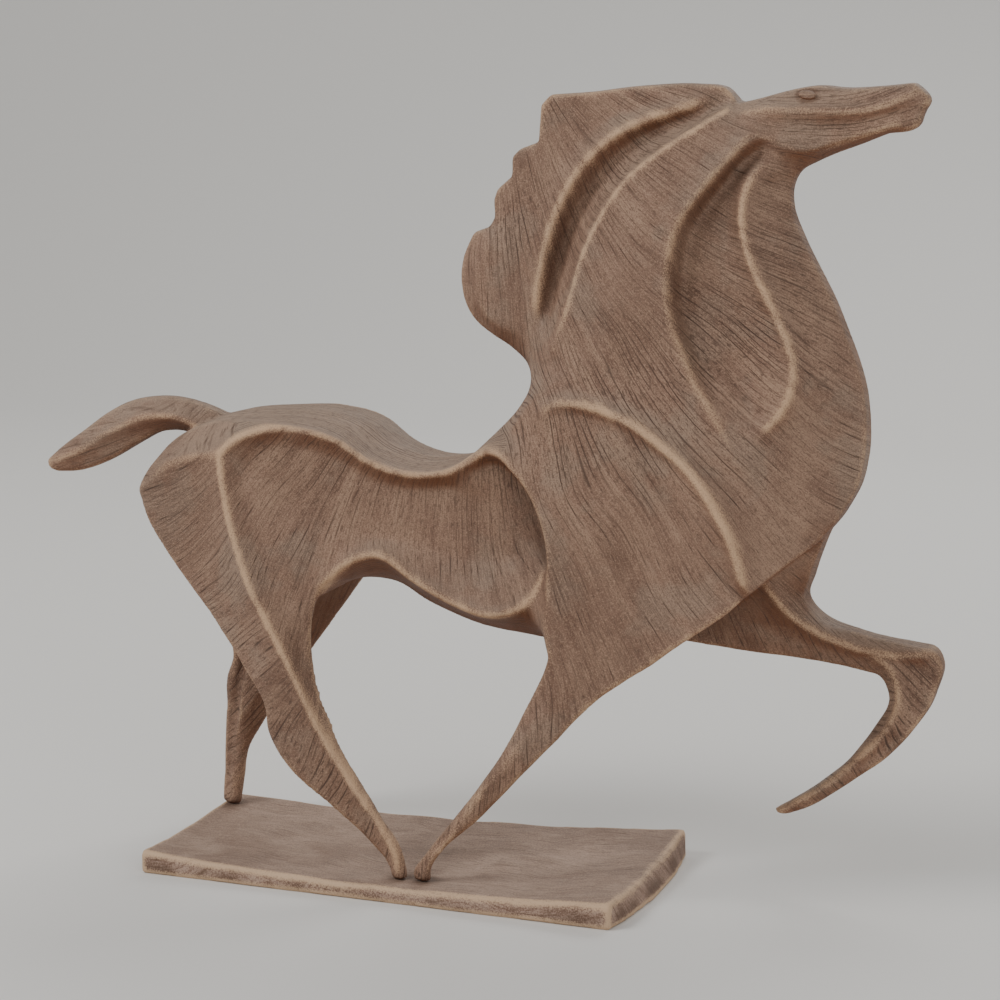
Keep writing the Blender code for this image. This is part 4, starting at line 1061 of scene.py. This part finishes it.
# the sides darker from just under the top downwards, in patches
grimeAndShade = np.clip((below - plinth["sideDarkStart"]) / (plinth["sideDarkFull"] - plinth["sideDarkStart"]), 0, 1)
grimeAndShade *= np.clip(patchMean + patchGain * patches, 0, 1)
# round each foot, grime with painted contact shade, fading down the board's side
for rear, front, name, side in ((farHindRear, farHindFront, "far hind leg", 1),
                                (nearHindRear, nearHindFront, "near hind leg", -1),
                                (nearForeRear, nearForeFront, "near foreleg", -1)):
    foot = ((rear[-1][0] + front[0][0]) / 2,
            side * (horse["innerFaces"][name][0][1] + plinth["footMiddle"]))
    away = np.hypot(*(spots[:, :2] - foot).T) / plinth["halo"]
    grimeAndShade = np.maximum(grimeAndShade, np.exp(-away**2) - below * plinth["haloDrop"])
plinthBoard = makePiece("plinthBoard", spots * mm, netFaces, boardWood, {
    "wearAndHighlight": np.clip((0.5 - edgeShare) / plinth["edgeShare"], 0, 1), "grimeAndShade": grimeAndShade})
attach(plinthBoard, "root")
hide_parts("plinth")
print("plinth made:", len(netFaces) * 2, "triangles")

# A pale floor that sweeps up into a wall, and soft light from the upper left.
studio = dict(
    sweepStart=1.6, sweepRadius=1.2, wallHeight=4.0, halfWidth=6.0, colour="#d9d7d3",
    lights=[  # place, watts, size in metres
        ((-1.5, -1.3, 2.0), 36.0, 1.0),
        ((1.8, -1.6, 0.9), 12.0, 1.6),
        ((0.4, 1.6, 1.7), 18.0, 1.4),
    ],
    ambient=0.55,
    aim=(0.04, 0.0, 0.25),  # metres, where the lights point
)
turn = np.linspace(0, np.pi / 2, 24)
profile = np.vstack([[(-5.0, 0.0)],
                     np.stack([studio["sweepStart"] + studio["sweepRadius"] * np.sin(turn),
                               studio["sweepRadius"] * (1 - np.cos(turn))], axis=1),
                     [(studio["sweepStart"] + studio["sweepRadius"], studio["wallHeight"])]])
sweep = np.array([(side, py, pz) for side in (-studio["halfWidth"], studio["halfWidth"])
                  for py, pz in profile])
n = len(profile)
cell = np.arange(n - 1)
floor = bpy.data.meshes.new("floor")
floor.from_pydata(sweep.tolist(), [], np.stack([cell, cell + n, cell + n + 1, cell + 1], 1).tolist())
floor.shade_smooth()
pale = bpy.data.materials.new("pale studio paper")
pale.use_nodes = True
pale.node_tree.nodes["Principled BSDF"].inputs["Base Color"].default_value = hexColour(studio["colour"])
pale.node_tree.nodes["Principled BSDF"].inputs["Roughness"].default_value = 0.9
floor.materials.append(pale)
floorObject = bpy.data.objects.new("floor", floor)
bpy.context.scene.collection.objects.link(floorObject)

world = bpy.data.worlds.new("studio")
world.use_nodes = True
world.node_tree.nodes["Background"].inputs["Color"].default_value = (1, 1, 1, 1)
world.node_tree.nodes["Background"].inputs["Strength"].default_value = studio["ambient"]
bpy.context.scene.world = world
for place, watts, size in studio["lights"]:
    lamp = bpy.data.lights.new("softbox", "AREA")
    lamp.energy, lamp.size = watts, size
    softbox = bpy.data.objects.new("softbox", lamp)
    softbox.location = place
    away = np.array(place) - studio["aim"]
    softbox.rotation_euler = (math.atan2(math.hypot(away[0], away[1]), away[2]), 0,
                              math.atan2(away[0], -away[1]))
    bpy.context.scene.collection.objects.link(softbox)
print("studio lit")
